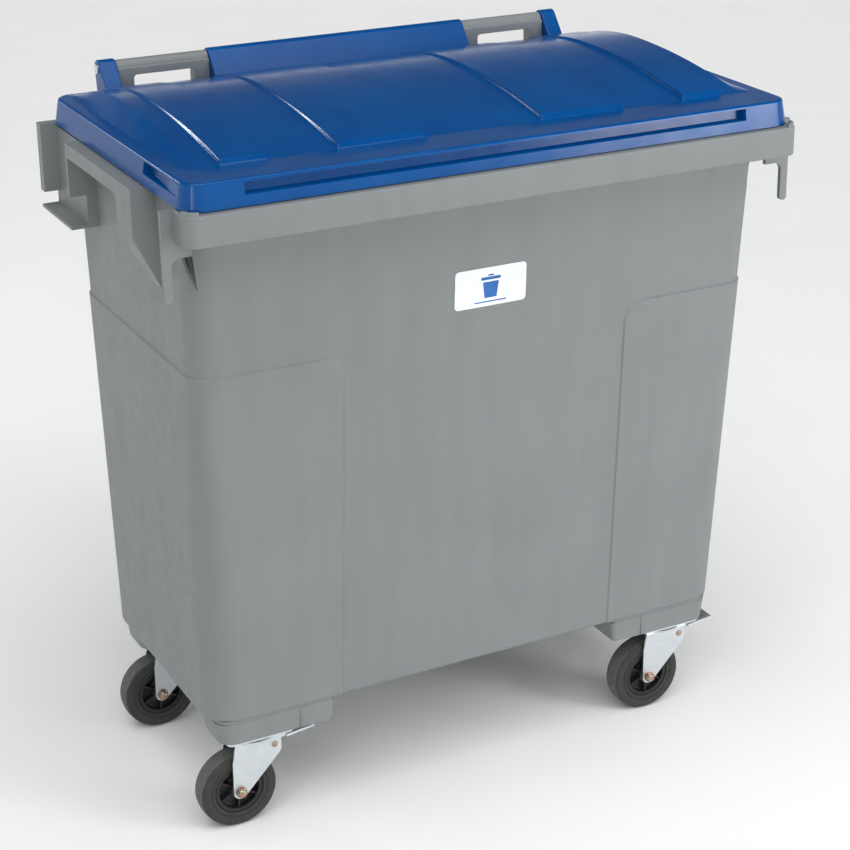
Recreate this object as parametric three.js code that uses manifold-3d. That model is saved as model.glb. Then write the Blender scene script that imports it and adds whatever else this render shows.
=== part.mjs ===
// A four-wheeled waste container: a moulded tub, a domed lid on a rear hinge and four swivel castors.
// Millimetres, +Z up, +X to the right, the front faces -Y, and the wheels stand on z = 0.

import * as THREE from 'three';
import { mergeVertices } from 'three/addons/utils/BufferGeometryUtils.js';
import Module from 'manifold-3d';

const wasm = await Module();
wasm.setup();

// ---------------------------------------------------------------- driving dimensions

const OVERALL_HEIGHT = 1420; // floor to the top of the lid's hinge barrel
const OVERALL_DEPTH = 774; // front of the rim to the back of the hinge barrel
const RIM_WIDTH = 1260;
const GRIP_REACH = 22; // side lifting grips beyond the rim
const GAP = 0.3; // between pieces that touch
const RUNNING_FIT = 0.4; // radial, between a pin and its bore
const OVERCUT = 1; // how far a cut runs past the face it starts from

// tub
const WALL = 5;
const RIM_HEIGHT = 57;
const RIM_SKIN = 6;
const RIM_CORNER = 28;
const RIM_BEFORE_HINGE = 15.5; // rim's back edge to the hinge axis
const RIM_BELOW_HINGE = 86.5; // rim's top to the hinge axis
const SIDE_OVERHANG = 30; // rim beyond the side wall, at the top
const FRONT_OVERHANG = 81;
const REAR_OVERHANG = 36;
const SIDE_DRAFT = 25; // wall leans in by this much from top to bottom
const FRONT_DRAFT = 62;
const REAR_DRAFT = 12;
const TOP_CORNER = 50;
const BOTTOM_CORNER = 60;
const FOOT_HEIGHT = 50;
const FOOT_FLOOR = 14;
const FOOT_TAPER = 6;
const FOOT_CORNER = 30;
const FOOT_MARGIN = 6; // foot beyond the castor plate, front and back
const FOOT_OUTER_MARGIN = 19; // beyond the plate's outer end
const FOOT_INNER_MARGIN = 85;
const FOOT_FRONT_INSET = 1; // foot behind the wall's base
const FOOT_SIDE_INSET = 13;
const PANEL_MARGIN = 15; // thickened corner panels beyond the feet
const PANEL_DROP = 336; // their top edge below the rim's top
const PANEL_STEP = 3;

// side lifting grips: lengths run back from the rim's front, drops run down from its top
const GRIP = {
  recessStart: 71, // the rim's side is set in from here
  recessEnd: 23, // to this far from the rim's back
  flangeStart: 210,
  flangeLength: 358,
  lipHeight: 28,
  legLength: 78,
  legDrop: 91,
  gussetDrop: 196,
  gussetFoot: 2, // gusset's lower end outside the wall
  postThickness: 8,
  postDrop: 106,
  webThickness: 9,
  hookDrop: 167,
  hookWidth: 22,
  hookChamfer: 6,
  archDrop: 88,
  shelfDrop: 171,
  plateDrop: 136,
  backing: 26,
};

// hinge
const BARREL_RADIUS = 17.5;
const HANDLE_BAR_RADIUS = 14;
const PIN_RADIUS = 6;
const PIN_COLLAR = 4; // pin head beyond the pin, radially
const PIN_HEAD = 3;
const PIN_ENGAGEMENT = 32; // length of the pin inside the lid's middle barrel
const HANDLE_FROM_SIDE = 148; // rim's side to the handle's outer end
const HANDLE_LENGTH = 193;
const EAR_THICKNESS = 35;
const HANDLE_PLATE = 26;
const HANDLE_ROOT = 18; // handle plate below the rim's top
const HANDLE_REAR_STEP = 6.5; // hinge axis to the handle's rear face
const HANDLE_POST = 33;
const WINDOW_HEIGHT = 46;
const WINDOW_GAP = 2; // window below the bar

// lid
const LID_INSET = 5; // lid edge inside the rim's outer edge, at the sides
const LID_FRONT_INSET = 13;
const LID_REAR_INSET = 9;
const LID_SEAT = 2;
const LID_SKIN = 4;
const SKIRT_HEIGHT = 48;
const SKIRT_DRAFT = 7;
const LID_CORNER = 34;
const LEDGE_DEPTH = 96; // flat shelf in front of the dome
const SIDE_SLOPE = 33;
const DOME_RISE = 38;
const DOME_REAR_INSET = 10;
const DOME_PEAK_INSET = 235; // dome's highest line before its back edge
const BAND_RISE = 5;
const BAND_EDGE = 3;
const BAND_START = 116; // middle band from the lid's centre line
const BAND_VALLEY = 130; // between the middle band and the side band
const SIDE_BAND = 93;
const SIDE_BAND_INSET = 102; // side band inside the lid's edge
const CHANNEL_INSET = 110; // front channel's end inside the lid's edge
const CHANNEL_HEIGHT = 22;
const CHANNEL_DEPTH = 12;
const CHANNEL_BELOW_LEDGE = 3;
const HINGE_WALL_REACH = 56; // hinge wall's front edge before the axis
const HINGE_WALL_ROOT = 6; // how far it is sunk in the ledge
const HINGE_WALL_BACK = 8; // its back face behind the axis
const HINGE_WALL_RAISE = 12; // its bottom above the lid's edge
const HINGE_WALL_END = 40; // solid ends beside its hollow
const BARREL_ROOF = 8; // solid under the barrel, above the hollow

// castors
const WHEEL_RADIUS = 80;
const TYRE_WIDTH = 44;
const TYRE_INNER = 50;
const TYRE_BEVEL = 3;
const TREAD_CROWN = 2; // tread's middle beyond its edges
const SHOULDER_DROP = 9; // round shoulder, radially
const SHOULDER_WIDTH = 6;
const HUB_RADIUS = 18;
const HUB_PROUD = 2; // hub beyond the tyre's side
const HUB_CLEARANCE = 1.5; // hub to the fork's leg
const CENTRE_RIM = 9;
const WEB = 10;
const WHEEL_SEGMENTS = 24; // shared by tyre and centre, so that their faces match
const CROWN_CLEARANCE = 24.1; // fork's crown over the tyre
const CASTOR_TRAIL = 40;
const PLATE_LENGTH = 140;
const PLATE_DEPTH = 104;
const PLATE = 4;
const PLATE_CORNER = 10;
const BOLT_END_MARGIN = 18; // bolts inside the plate's ends
const BOLT_SIDE_MARGIN = 14;
const BOLT_RADIUS = 4;
const BOLT_HEAD_RADIUS = 7.5;
const BOLT_HEAD = 5.3;
const BOLT_REACH = 10;
const BOLT_SEGMENTS = 10; // shared by bolts and their holes
const BEARING_RADIUS = 40;
const BEARING_HEIGHT = 10;
const BEARING_WAIST = 4;
const KINGPIN_RADIUS = 7;
const KINGPIN_HEAD = 6;
const KINGPIN_COLLAR = 5; // head beyond the pin, radially
const CROWN_RADIUS = 43;
const CROWN_SETBACK = 2; // crown's flat behind the legs' edges
const LEG = 4;
const LEG_FRONT_X = -46;
const LEG_BACK_X = 48;
const LEG_SHOULDER = 34;
const LEG_KNEE = 10; // front shoulder below the back one
const AXLE_RADIUS = 6;
const AXLE_EYE = 15;
const AXLE_HEAD = 7;
const THREAD_END = 3; // thread beyond the nut
const NUT_RADIUS = 11;
const NUT_HEIGHT = 10;

// brake on the front castors
const PEDAL_PIVOT_X = 34;
const PEDAL_PIVOT_DROP = 18.1; // pivot under the crown
const PEDAL_PIN_RADIUS = 4;
const PEDAL_PIN_COLLAR = 2.5;
const PEDAL_PIN_HEAD = 3;
const PEDAL_CLEARANCE = 4.5; // pedal to the fork's legs
const PEDAL_REACH = 106;
const PEDAL_RISE = 12.5; // tread's end above the pivot
const PEDAL_SHEET = 5;
const PEDAL_EYE = 9;
const SHOE_THICKNESS = 10;
const SHOE_CLEARANCE = 10; // middle of the shoe's face off the tread
const SHOE_ANGLE = 42.7; // shoe's place round the wheel, degrees above the level

// label and drain
const LABEL_WIDTH = 152;
const LABEL_HEIGHT = 78;
const LABEL_CORNER = 8;
const LABEL_SHEET = 0.8;
const LABEL_DROP = 193; // middle of the label below the rim
const DRAIN_RADIUS = 25;
const DRAIN_COLLAR = 9; // flange beyond the plug, radially
const DRAIN_SEAL = 2.5;
const SEAL_MARGIN = 1;
const DRAIN_CAP = 6;
const DRAIN_GRIP = 14;
const DRAIN_GRIP_WIDTH = 8;
const DRAIN_SEGMENTS = 24;

// ---------------------------------------------------------------- derived planes

const AXLE_Z = WHEEL_RADIUS;
const CROWN_BOTTOM = 2 * WHEEL_RADIUS + CROWN_CLEARANCE;
const CROWN_TOP = CROWN_BOTTOM + LEG;
const BEARING_TOP = CROWN_TOP + GAP + BEARING_HEIGHT;
const PLATE_BOTTOM = BEARING_TOP + GAP;
const PLATE_TOP = PLATE_BOTTOM + PLATE;
const CASTOR_HEIGHT = PLATE_TOP + GAP;
const HUB_WIDTH = TYRE_WIDTH + 2 * HUB_PROUD;
const LEG_GAP = HUB_WIDTH + 2 * HUB_CLEARANCE;
const FORK_HALF = LEG_GAP / 2 + LEG;
const PEDAL_PIVOT_Z = CROWN_BOTTOM - PEDAL_PIVOT_DROP;
const BOLT_X = PLATE_LENGTH / 2 - BOLT_END_MARGIN;
const BOLT_Y = PLATE_DEPTH / 2 - BOLT_SIDE_MARGIN;

const FRONT_Y = -OVERALL_DEPTH / 2;
const HINGE_Y = OVERALL_DEPTH / 2 - BARREL_RADIUS;
const HINGE_Z = OVERALL_HEIGHT - BARREL_RADIUS;
const RIM_REAR_Y = HINGE_Y - RIM_BEFORE_HINGE;
const RIM_TOP = HINGE_Z - RIM_BELOW_HINGE;
const RIM_BOTTOM = RIM_TOP - RIM_HEIGHT;
const RIM_X = RIM_WIDTH / 2;
const GRIP_X = RIM_X + GRIP_REACH;
const TUB_BOTTOM = CASTOR_HEIGHT + FOOT_HEIGHT;
const WALL_TOP = {
  x: RIM_X - SIDE_OVERHANG,
  front: FRONT_Y + FRONT_OVERHANG,
  rear: RIM_REAR_Y - REAR_OVERHANG,
};
const WALL_BASE = {
  x: WALL_TOP.x - SIDE_DRAFT,
  front: WALL_TOP.front + FRONT_DRAFT,
  rear: WALL_TOP.rear - REAR_DRAFT,
};
const FOOT_HALF_DEPTH = PLATE_DEPTH / 2 + FOOT_MARGIN;
const FOOT_OUTER_X = WALL_BASE.x - FOOT_SIDE_INSET;
const CASTOR_X = FOOT_OUTER_X - FOOT_OUTER_MARGIN - PLATE_LENGTH / 2;
const FOOT_INNER_X = CASTOR_X - PLATE_LENGTH / 2 - FOOT_INNER_MARGIN;
const CASTOR_FRONT_Y = WALL_BASE.front + FOOT_FRONT_INSET + FOOT_HALF_DEPTH;
const CASTOR_REAR_Y = WALL_BASE.rear - FOOT_HALF_DEPTH;
const PANEL_X = FOOT_INNER_X - PANEL_MARGIN;
const PANEL_TOP = RIM_TOP - PANEL_DROP;
const HANDLE_OUTER_X = RIM_X - HANDLE_FROM_SIDE;
const HANDLE_INNER_X = HANDLE_OUTER_X - HANDLE_LENGTH;
const LABEL_Z = RIM_BOTTOM - LABEL_DROP;

const LID_X = RIM_X - LID_INSET;
const LID_FRONT = FRONT_Y + LID_FRONT_INSET;
const LID_REAR = RIM_REAR_Y - LID_REAR_INSET;
const LID_BOTTOM = RIM_TOP + LID_SEAT;
const LEDGE_Z = LID_BOTTOM + SKIRT_HEIGHT;
const DOME_FRONT = LID_FRONT + LEDGE_DEPTH;
const DOME_REAR = LID_REAR - DOME_REAR_INSET;
const DOME_PEAK_Y = DOME_REAR - DOME_PEAK_INSET;
const DOME_X = LID_X - SIDE_SLOPE;
const SIDE_BAND_END = LID_X - SIDE_BAND_INSET;
const SIDE_BAND_START = SIDE_BAND_END - SIDE_BAND;
const BANDS = [[BAND_START, SIDE_BAND_START - BAND_VALLEY], [SIDE_BAND_START, SIDE_BAND_END]];
const CHANNEL_HALF = LID_X - CHANNEL_INSET;

// ---------------------------------------------------------------- materials

const material = (color, roughness, metalness = 0) =>
  new THREE.MeshStandardMaterial({ color, roughness, metalness });
const GREY_PLASTIC = () => material('#93999b', 0.55);
const BLUE_PLASTIC = () => material('#0a4a9c', 0.3);
const ZINC = () => material('#c4cbce', 0.35, 0.9);
const RUBBER = () => material('#2b2d2b', 0.85);
const BLACK_PLASTIC = () => material('#151616', 0.6);
const BRASS = () => material('#a5805c', 0.4, 0.8);
const LABEL_WHITE = () => material('#f2f4f5', 0.45);

// ---------------------------------------------------------------- solids and booleans

const ALONG_X = new THREE.Matrix4().makeBasis(
  new THREE.Vector3(0, 1, 0), new THREE.Vector3(0, 0, 1), new THREE.Vector3(1, 0, 0));
const ALONG_Y = new THREE.Matrix4().makeBasis(
  new THREE.Vector3(1, 0, 0), new THREE.Vector3(0, 0, 1), new THREE.Vector3(0, -1, 0));

/** A closed geometry as a manifold solid. */
function solid(geometry) {
  const bare = geometry.clone();
  for (const name of Object.keys(bare.attributes)) {
    if (name !== 'position') bare.deleteAttribute(name);
  }
  const merged = mergeVertices(bare, 1e-4);
  return new wasm.Manifold(new wasm.Mesh({
    numProp: 3,
    vertProperties: new Float32Array(merged.attributes.position.array),
    triVerts: new Uint32Array(merged.index.array),
  }));
}

/** A manifold solid as a geometry for a mesh. */
function geometryOf(body) {
  const { vertProperties, triVerts } = body.getMesh();
  const geometry = new THREE.BufferGeometry();
  geometry.setAttribute('position', new THREE.BufferAttribute(new Float32Array(vertProperties), 3));
  geometry.setIndex(new THREE.BufferAttribute(new Uint32Array(triVerts), 1));
  geometry.computeVertexNormals();
  return geometry;
}

const union = (...bodies) => bodies.reduce((sum, body) => sum.add(body));

function box([x0, x1], [y0, y1], [z0, z1]) {
  const geometry = new THREE.BoxGeometry(x1 - x0, y1 - y0, z1 - z0);
  geometry.translate((x0 + x1) / 2, (y0 + y1) / 2, (z0 + z1) / 2);
  return solid(geometry);
}

/** A box on one side of the tub: x counts outwards from the middle, side is -1 or 1. */
function sideBox(side, [x0, x1], yRange, zRange) {
  return box(side > 0 ? [x0, x1] : [-x1, -x0], yRange, zRange);
}

/** A flat outline of [u, v] points, extruded; the matrix turns it into the object's axes. */
function prism(points, length, matrix, offset) {
  const shape = new THREE.Shape(points.map(([u, v]) => new THREE.Vector2(u, v)));
  const geometry = new THREE.ExtrudeGeometry(shape, { depth: length, bevelEnabled: false });
  geometry.applyMatrix4(matrix);
  geometry.translate(...offset);
  return solid(geometry);
}

/** An outline in the YZ plane, extruded from x0 to x1. */
const prismX = (points, x0, x1) => prism(points, x1 - x0, ALONG_X, [x0, 0, 0]);

/** An outline in the XZ plane, extruded from y0 to y1. */
const prismY = (points, y0, y1) => prism(points, y1 - y0, ALONG_Y, [0, y1, 0]);

function cylinder(radius, length, segments = 16) {
  return new THREE.CylinderGeometry(radius, radius, length, segments);
}

const rodX = (radius, x0, x1, y, z, segments) =>
  solid(cylinder(radius, x1 - x0, segments).rotateZ(Math.PI / 2).translate((x0 + x1) / 2, y, z));
const rodY = (radius, y0, y1, x, z, segments) =>
  solid(cylinder(radius, y1 - y0, segments).translate(x, (y0 + y1) / 2, z));
const rodZ = (radius, z0, z1, x, y, segments) =>
  solid(cylinder(radius, z1 - z0, segments).rotateX(Math.PI / 2).translate(x, y, (z0 + z1) / 2));

/** The points of a rounded rectangle, anticlockwise seen from above. */
function roundedRect(x0, x1, y0, y1, radius, steps = 6) {
  const centres = [[x1 - radius, y0 + radius], [x1 - radius, y1 - radius],
    [x0 + radius, y1 - radius], [x0 + radius, y0 + radius]];
  return centres.flatMap(([cx, cy], corner) => Array.from({ length: steps + 1 }, (_, i) => {
    const angle = (corner - 1 + i / steps) * Math.PI / 2;
    return [cx + radius * Math.cos(angle), cy + radius * Math.sin(angle)];
  }));
}

/** A closed solid through outlines of equal point count at rising heights; each outline is convex. */
function loft(levels) {
  const count = levels[0].outline.length;
  const positions = levels.flatMap(({ outline, z }) => outline.flatMap(([x, y]) => [x, y, z]));
  const index = [];
  for (let level = 0; level + 1 < levels.length; level += 1) {
    for (let i = 0; i < count; i += 1) {
      const a = level * count + i;
      const b = level * count + (i + 1) % count;
      index.push(a, b, b + count, a, b + count, a + count);
    }
  }
  const top = (levels.length - 1) * count;
  for (let i = 1; i + 1 < count; i += 1) {
    index.push(0, i + 1, i);
    index.push(top, top + i, top + i + 1);
  }
  const geometry = new THREE.BufferGeometry();
  geometry.setAttribute('position', new THREE.Float32BufferAttribute(positions, 3));
  geometry.setIndex(index);
  return solid(geometry);
}

/** A solid between z = base and a height that depends on x and y, over a grid. */
function heightField(xs, ys, base, height) {
  const positions = [];
  for (const z of [height, () => base]) {
    for (const y of ys) {
      for (const x of xs) positions.push(x, y, z(x, y));
    }
  }
  const index = [];
  const floor = xs.length * ys.length;
  const quad = (a, b, c, d) => index.push(a, b, c, a, c, d);
  for (let j = 0; j + 1 < ys.length; j += 1) {
    for (let i = 0; i + 1 < xs.length; i += 1) {
      const a = j * xs.length + i;
      const d = a + xs.length;
      quad(a, a + 1, d + 1, d);
      quad(floor + a, floor + d, floor + d + 1, floor + a + 1);
    }
  }
  for (let i = 0; i + 1 < xs.length; i += 1) {
    const far = (ys.length - 1) * xs.length + i;
    quad(floor + i, floor + i + 1, i + 1, i);
    quad(floor + far + 1, floor + far, far, far + 1);
  }
  for (let j = 0; j + 1 < ys.length; j += 1) {
    const left = j * xs.length;
    const right = left + xs.length - 1;
    quad(floor + left + xs.length, floor + left, left, left + xs.length);
    quad(floor + right, floor + right + xs.length, right + xs.length, right);
  }
  const geometry = new THREE.BufferGeometry();
  geometry.setAttribute('position', new THREE.Float32BufferAttribute(positions, 3));
  geometry.setIndex(index);
  return solid(geometry);
}

/** A turned piece about the Y axis from [radius, y] points, closed on itself. */
function turned(profile, segments) {
  const points = [...profile, profile[0]].map(([radius, y]) => new THREE.Vector2(radius, y));
  return new THREE.LatheGeometry(points, segments);
}

function namedMesh(name, geometry, surface) {
  const mesh = new THREE.Mesh(geometry, surface);
  mesh.name = name;
  return mesh;
}

// ---------------------------------------------------------------- tub

/** The tub's wall outline, moved in by inset, at a height between base and top. */
function wallOutline(z, inset) {
  const t = (z - TUB_BOTTOM) / (RIM_BOTTOM - TUB_BOTTOM);
  const mix = (a, b) => a + (b - a) * t;
  const x = mix(WALL_BASE.x, WALL_TOP.x) - inset;
  const front = mix(WALL_BASE.front, WALL_TOP.front) + inset;
  const rear = mix(WALL_BASE.rear, WALL_TOP.rear) - inset;
  return roundedRect(-x, x, front, rear, mix(BOTTOM_CORNER, TOP_CORNER) - inset);
}

function tubWalls() {
  const levels = (z0, z1, inset) => [z0, z1].map((z) => ({ z, outline: wallOutline(z, inset) }));
  const panels = loft(levels(TUB_BOTTOM, PANEL_TOP, -PANEL_STEP))
    .subtract(box([-PANEL_X, PANEL_X], [FRONT_Y, RIM_REAR_Y], [0, RIM_TOP]));
  return union(loft(levels(TUB_BOTTOM, RIM_BOTTOM + RIM_SKIN, 0)), panels);
}

function tubCavity() {
  return loft([TUB_BOTTOM + WALL, RIM_TOP + OVERCUT].map((z) => ({ z, outline: wallOutline(z, WALL) })));
}

/** The rim: a flange all round with a band hanging from its edge, hollow underneath. */
function rim() {
  const ring = (inset, z0, z1) => {
    const outline = roundedRect(-RIM_X + inset, RIM_X - inset, FRONT_Y + inset, RIM_REAR_Y - inset,
      RIM_CORNER - inset);
    return loft([{ z: z0, outline }, { z: z1, outline }]);
  };
  const hollow = ring(WALL, RIM_BOTTOM - OVERCUT, RIM_TOP - RIM_SKIN)
    .subtract(loft([RIM_BOTTOM - 2 * OVERCUT, RIM_TOP].map((z) => ({ z, outline: wallOutline(z, 0) }))));
  return ring(0, RIM_BOTTOM, RIM_TOP).subtract(hollow);
}

/** One side's lifting grip: flange and lip, front leg with gusset, rear post, shelf and end plates. */
function sideGrip(side) {
  const inner = WALL_TOP.x - WALL;
  const flange = [FRONT_Y + GRIP.flangeStart, FRONT_Y + GRIP.flangeStart + GRIP.flangeLength];
  const post = [flange[1] - GRIP.postThickness, flange[1]];
  const web = [FRONT_Y + GRIP.recessStart - GRIP.webThickness, FRONT_Y + GRIP.recessStart];
  const shelf = [RIM_TOP - GRIP.shelfDrop, RIM_TOP - GRIP.shelfDrop + RIM_SKIN];
  const mirrored = (points) => points.map(([x, z]) => [side * x, z]);
  const legOutline = (inset) => mirrored([
    [inner, RIM_TOP - inset], [GRIP_X - inset, RIM_TOP - inset], [GRIP_X - inset, RIM_TOP - GRIP.legDrop],
    [WALL_TOP.x + GRIP.gussetFoot - inset, RIM_TOP - GRIP.gussetDrop], [inner, RIM_TOP - GRIP.gussetDrop],
  ]);
  const leg = prismY(legOutline(0), flange[0], flange[0] + GRIP.legLength)
    .subtract(prismY(legOutline(RIM_SKIN), flange[0] + RIM_SKIN, flange[0] + GRIP.legLength + OVERCUT));
  const hookTip = RIM_TOP - GRIP.hookDrop;
  const chamfer = GRIP.hookChamfer;
  const hook = mirrored([
    [inner, RIM_TOP], [GRIP_X, RIM_TOP], [GRIP_X, hookTip + chamfer], [GRIP_X - chamfer, hookTip],
    [GRIP_X - GRIP.hookWidth + chamfer, hookTip], [GRIP_X - GRIP.hookWidth, hookTip + chamfer],
    [GRIP_X - GRIP.hookWidth, RIM_TOP - GRIP.archDrop], [inner, RIM_TOP - GRIP.archDrop],
  ]);
  return union(
    sideBox(side, [inner, GRIP_X], flange, [RIM_TOP - RIM_SKIN, RIM_TOP]),
    sideBox(side, [GRIP_X - RIM_SKIN, GRIP_X], flange, [RIM_TOP - GRIP.lipHeight, RIM_TOP]),
    leg,
    prismY(hook, ...web),
    sideBox(side, [inner, GRIP_X], post, [RIM_TOP - GRIP.postDrop, RIM_TOP]),
    sideBox(side, [inner, GRIP_X], [post[0], RIM_REAR_Y], shelf),
    sideBox(side, [inner, GRIP_X], [RIM_REAR_Y - GRIP.recessEnd, RIM_REAR_Y],
      [RIM_TOP - GRIP.plateDrop, RIM_TOP]),
    sideBox(side, [inner, inner + GRIP.backing], [post[0], RIM_REAR_Y], [shelf[0], RIM_TOP - RIM_SKIN]),
  );
}

/** The rim's side recess, cut before the grip is added. */
function sideRecess(side) {
  return sideBox(side, [WALL_TOP.x + RIM_SKIN, RIM_X + OVERCUT],
    [FRONT_Y + GRIP.recessStart, RIM_REAR_Y - GRIP.recessEnd], [RIM_BOTTOM - OVERCUT, RIM_TOP + OVERCUT]);
}

/** A rear handle: a bored bar on a plate with a window, standing on the back of the rim. */
function rearHandle(side) {
  const x0 = HANDLE_INNER_X + GAP;
  const x1 = HANDLE_OUTER_X - GAP;
  const span = side > 0 ? [x0, x1] : [-x1, -x0];
  const rear = HINGE_Y + HANDLE_REAR_STEP;
  const plate = box(span, [rear - HANDLE_PLATE, rear], [RIM_TOP - HANDLE_ROOT, HINGE_Z]);
  const windowTop = HINGE_Z - HANDLE_BAR_RADIUS - WINDOW_GAP;
  const opening = sideBox(side, [x0 + HANDLE_POST, x1 - HANDLE_POST],
    [rear - HANDLE_PLATE - OVERCUT, rear + OVERCUT], [windowTop - WINDOW_HEIGHT, windowTop]);
  return union(rodX(HANDLE_BAR_RADIUS, ...span, HINGE_Y, HINGE_Z), plate)
    .subtract(opening)
    .subtract(rodX(PIN_RADIUS + RUNNING_FIT, span[0] - OVERCUT, span[1] + OVERCUT, HINGE_Y, HINGE_Z));
}

const CASTORS = [
  { name: 'front_left', x: -CASTOR_X, y: CASTOR_FRONT_Y, brake: true },
  { name: 'front_right', x: CASTOR_X, y: CASTOR_FRONT_Y, brake: true },
  { name: 'rear_left', x: -CASTOR_X, y: CASTOR_REAR_Y, brake: false },
  { name: 'rear_right', x: CASTOR_X, y: CASTOR_REAR_Y, brake: false },
];
const BOLT_PLACES = [[-BOLT_X, -BOLT_Y], [BOLT_X, -BOLT_Y], [BOLT_X, BOLT_Y], [-BOLT_X, BOLT_Y]];

/** The box under a corner that takes a castor; inset gives its hollow. */
function footBlock({ x, y }, inset, z0, z1) {
  const [x0, x1] = x > 0 ? [FOOT_INNER_X, FOOT_OUTER_X] : [-FOOT_OUTER_X, -FOOT_INNER_X];
  const half = FOOT_HALF_DEPTH - inset;
  const outline = (taper) => roundedRect(x0 + inset + taper, x1 - inset - taper,
    y - half + taper / 2, y + half - taper / 2, FOOT_CORNER - inset);
  return loft([{ z: z0, outline: outline(FOOT_TAPER) }, { z: z1, outline: outline(0) }]);
}

function boltBores({ x, y }) {
  return union(...BOLT_PLACES.map(([dx, dy]) => rodZ(BOLT_RADIUS + GAP, CASTOR_HEIGHT - OVERCUT,
    CASTOR_HEIGHT + BOLT_REACH + GAP, x + dx, y + dy, BOLT_SEGMENTS)));
}

function tubBody() {
  let body = tubWalls().add(rim());
  for (const side of [-1, 1]) body = body.subtract(sideRecess(side)).add(sideGrip(side)).add(rearHandle(side));
  for (const castor of CASTORS) body = body.add(footBlock(castor, 0, CASTOR_HEIGHT, TUB_BOTTOM + WALL));
  body = body.subtract(tubCavity());
  for (const castor of CASTORS) {
    body = body.subtract(footBlock(castor, WALL, CASTOR_HEIGHT + FOOT_FLOOR, TUB_BOTTOM + WALL + OVERCUT));
    body = body.subtract(boltBores(castor));
  }
  return body.subtract(rodZ(DRAIN_RADIUS + RUNNING_FIT, TUB_BOTTOM - OVERCUT, TUB_BOTTOM + WALL + OVERCUT,
    0, 0, DRAIN_SEGMENTS));
}

function tub() {
  return namedMesh('tub', geometryOf(tubBody()), GREY_PLASTIC());
}

// ---------------------------------------------------------------- lid

/** How much a raised band adds at x; the grid's lines give it short sloped edges. */
function bandRise(x) {
  const at = Math.abs(x);
  const inside = BANDS.some(([from, to]) => at >= from + BAND_EDGE && at <= to - BAND_EDGE);
  return inside ? BAND_RISE : 0;
}

/** The height of the lid's top surface. */
function lidTop(x, y) {
  if (y <= DOME_FRONT || y >= DOME_REAR) return LEDGE_Z;
  const reach = y < DOME_PEAK_Y ? DOME_PEAK_Y - DOME_FRONT : DOME_REAR - DOME_PEAK_Y;
  const crown = DOME_RISE * (1 - ((y - DOME_PEAK_Y) / reach) ** 2);
  const side = THREE.MathUtils.clamp((LID_X - SKIRT_DRAFT - Math.abs(x)) / (SIDE_SLOPE - SKIRT_DRAFT), 0, 1);
  return LEDGE_Z + crown * side + bandRise(x);
}

function lidGrid() {
  const half = [0, ...BANDS.flatMap(([from, to]) => [from, from + BAND_EDGE, to - BAND_EDGE, to]),
    DOME_X, LID_X - SKIRT_DRAFT, LID_X + OVERCUT];
  const xs = [...half.slice(1).reverse().map((x) => -x), ...half];
  const steps = 10;
  const step = (DOME_REAR - DOME_FRONT) / steps;
  const dome = Array.from({ length: steps - 1 }, (_, i) => DOME_FRONT + (i + 1) * step);
  const ys = [LID_FRONT - OVERCUT, DOME_FRONT, DOME_FRONT + BAND_EDGE, ...dome,
    DOME_REAR - BAND_EDGE, DOME_REAR, LID_REAR + OVERCUT];
  return { xs, ys };
}

/** The skirt's tapering outline as a full block; inset and frontInset give the hollow's. */
function skirtBlock(inset, frontInset, z0) {
  const outline = (taper) => roundedRect(-LID_X + inset + taper, LID_X - inset - taper,
    LID_FRONT + frontInset + taper, LID_REAR - inset, LID_CORNER - inset);
  return loft([
    { z: z0, outline: outline(0) }, { z: LEDGE_Z, outline: outline(SKIRT_DRAFT) },
    { z: OVERALL_HEIGHT, outline: outline(SKIRT_DRAFT) },
  ]);
}

function lidShell() {
  const { xs, ys } = lidGrid();
  const outer = heightField(xs, ys, LID_BOTTOM, lidTop).intersect(skirtBlock(0, 0, LID_BOTTOM));
  const inner = heightField(xs, ys, LID_BOTTOM - OVERCUT, (x, y) => lidTop(x, y) - LID_SKIN)
    .intersect(skirtBlock(LID_SKIN, LID_SKIN + CHANNEL_DEPTH, LID_BOTTOM - OVERCUT));
  const channelTop = LEDGE_Z - CHANNEL_BELOW_LEDGE;
  const channel = box([-CHANNEL_HALF, CHANNEL_HALF], [LID_FRONT - OVERCUT, LID_FRONT + CHANNEL_DEPTH],
    [channelTop - CHANNEL_HEIGHT, channelTop]);
  return outer.subtract(inner).subtract(channel);
}

/** The outline of the raised hinge wall, ending in the barrel round the hinge axis. */
function hingeOutline() {
  const arc = Array.from({ length: 13 }, (_, i) => {
    const angle = THREE.MathUtils.degToRad(150 - i * 15);
    return [HINGE_Y + BARREL_RADIUS * Math.cos(angle), HINGE_Z + BARREL_RADIUS * Math.sin(angle)];
  });
  const bottom = LID_BOTTOM + HINGE_WALL_RAISE;
  return [[HINGE_Y - HINGE_WALL_REACH, LEDGE_Z - HINGE_WALL_ROOT], ...arc,
    [HINGE_Y + HINGE_WALL_BACK, bottom], [LID_REAR - LID_SKIN, bottom]].reverse();
}

function hingeWall() {
  const bottom = LID_BOTTOM + HINGE_WALL_RAISE - OVERCUT;
  const back = HINGE_Y + HINGE_WALL_BACK - WALL;
  const roof = HINGE_Z - BARREL_RADIUS - BARREL_ROOF;
  const hollow = [[LID_REAR, bottom], [back, bottom], [back, roof], [HINGE_Y - BARREL_RADIUS, roof],
    [LID_REAR, LEDGE_Z - HINGE_WALL_ROOT - LID_SKIN]];
  const middle = HANDLE_INNER_X - GAP;
  const ear = HANDLE_OUTER_X + GAP;
  return union(
    prismX(hingeOutline(), -middle, middle)
      .subtract(prismX(hollow, HINGE_WALL_END - middle, middle - HINGE_WALL_END)),
    prismX(hingeOutline(), ear, ear + EAR_THICKNESS),
    prismX(hingeOutline(), -ear - EAR_THICKNESS, -ear),
  );
}

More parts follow.
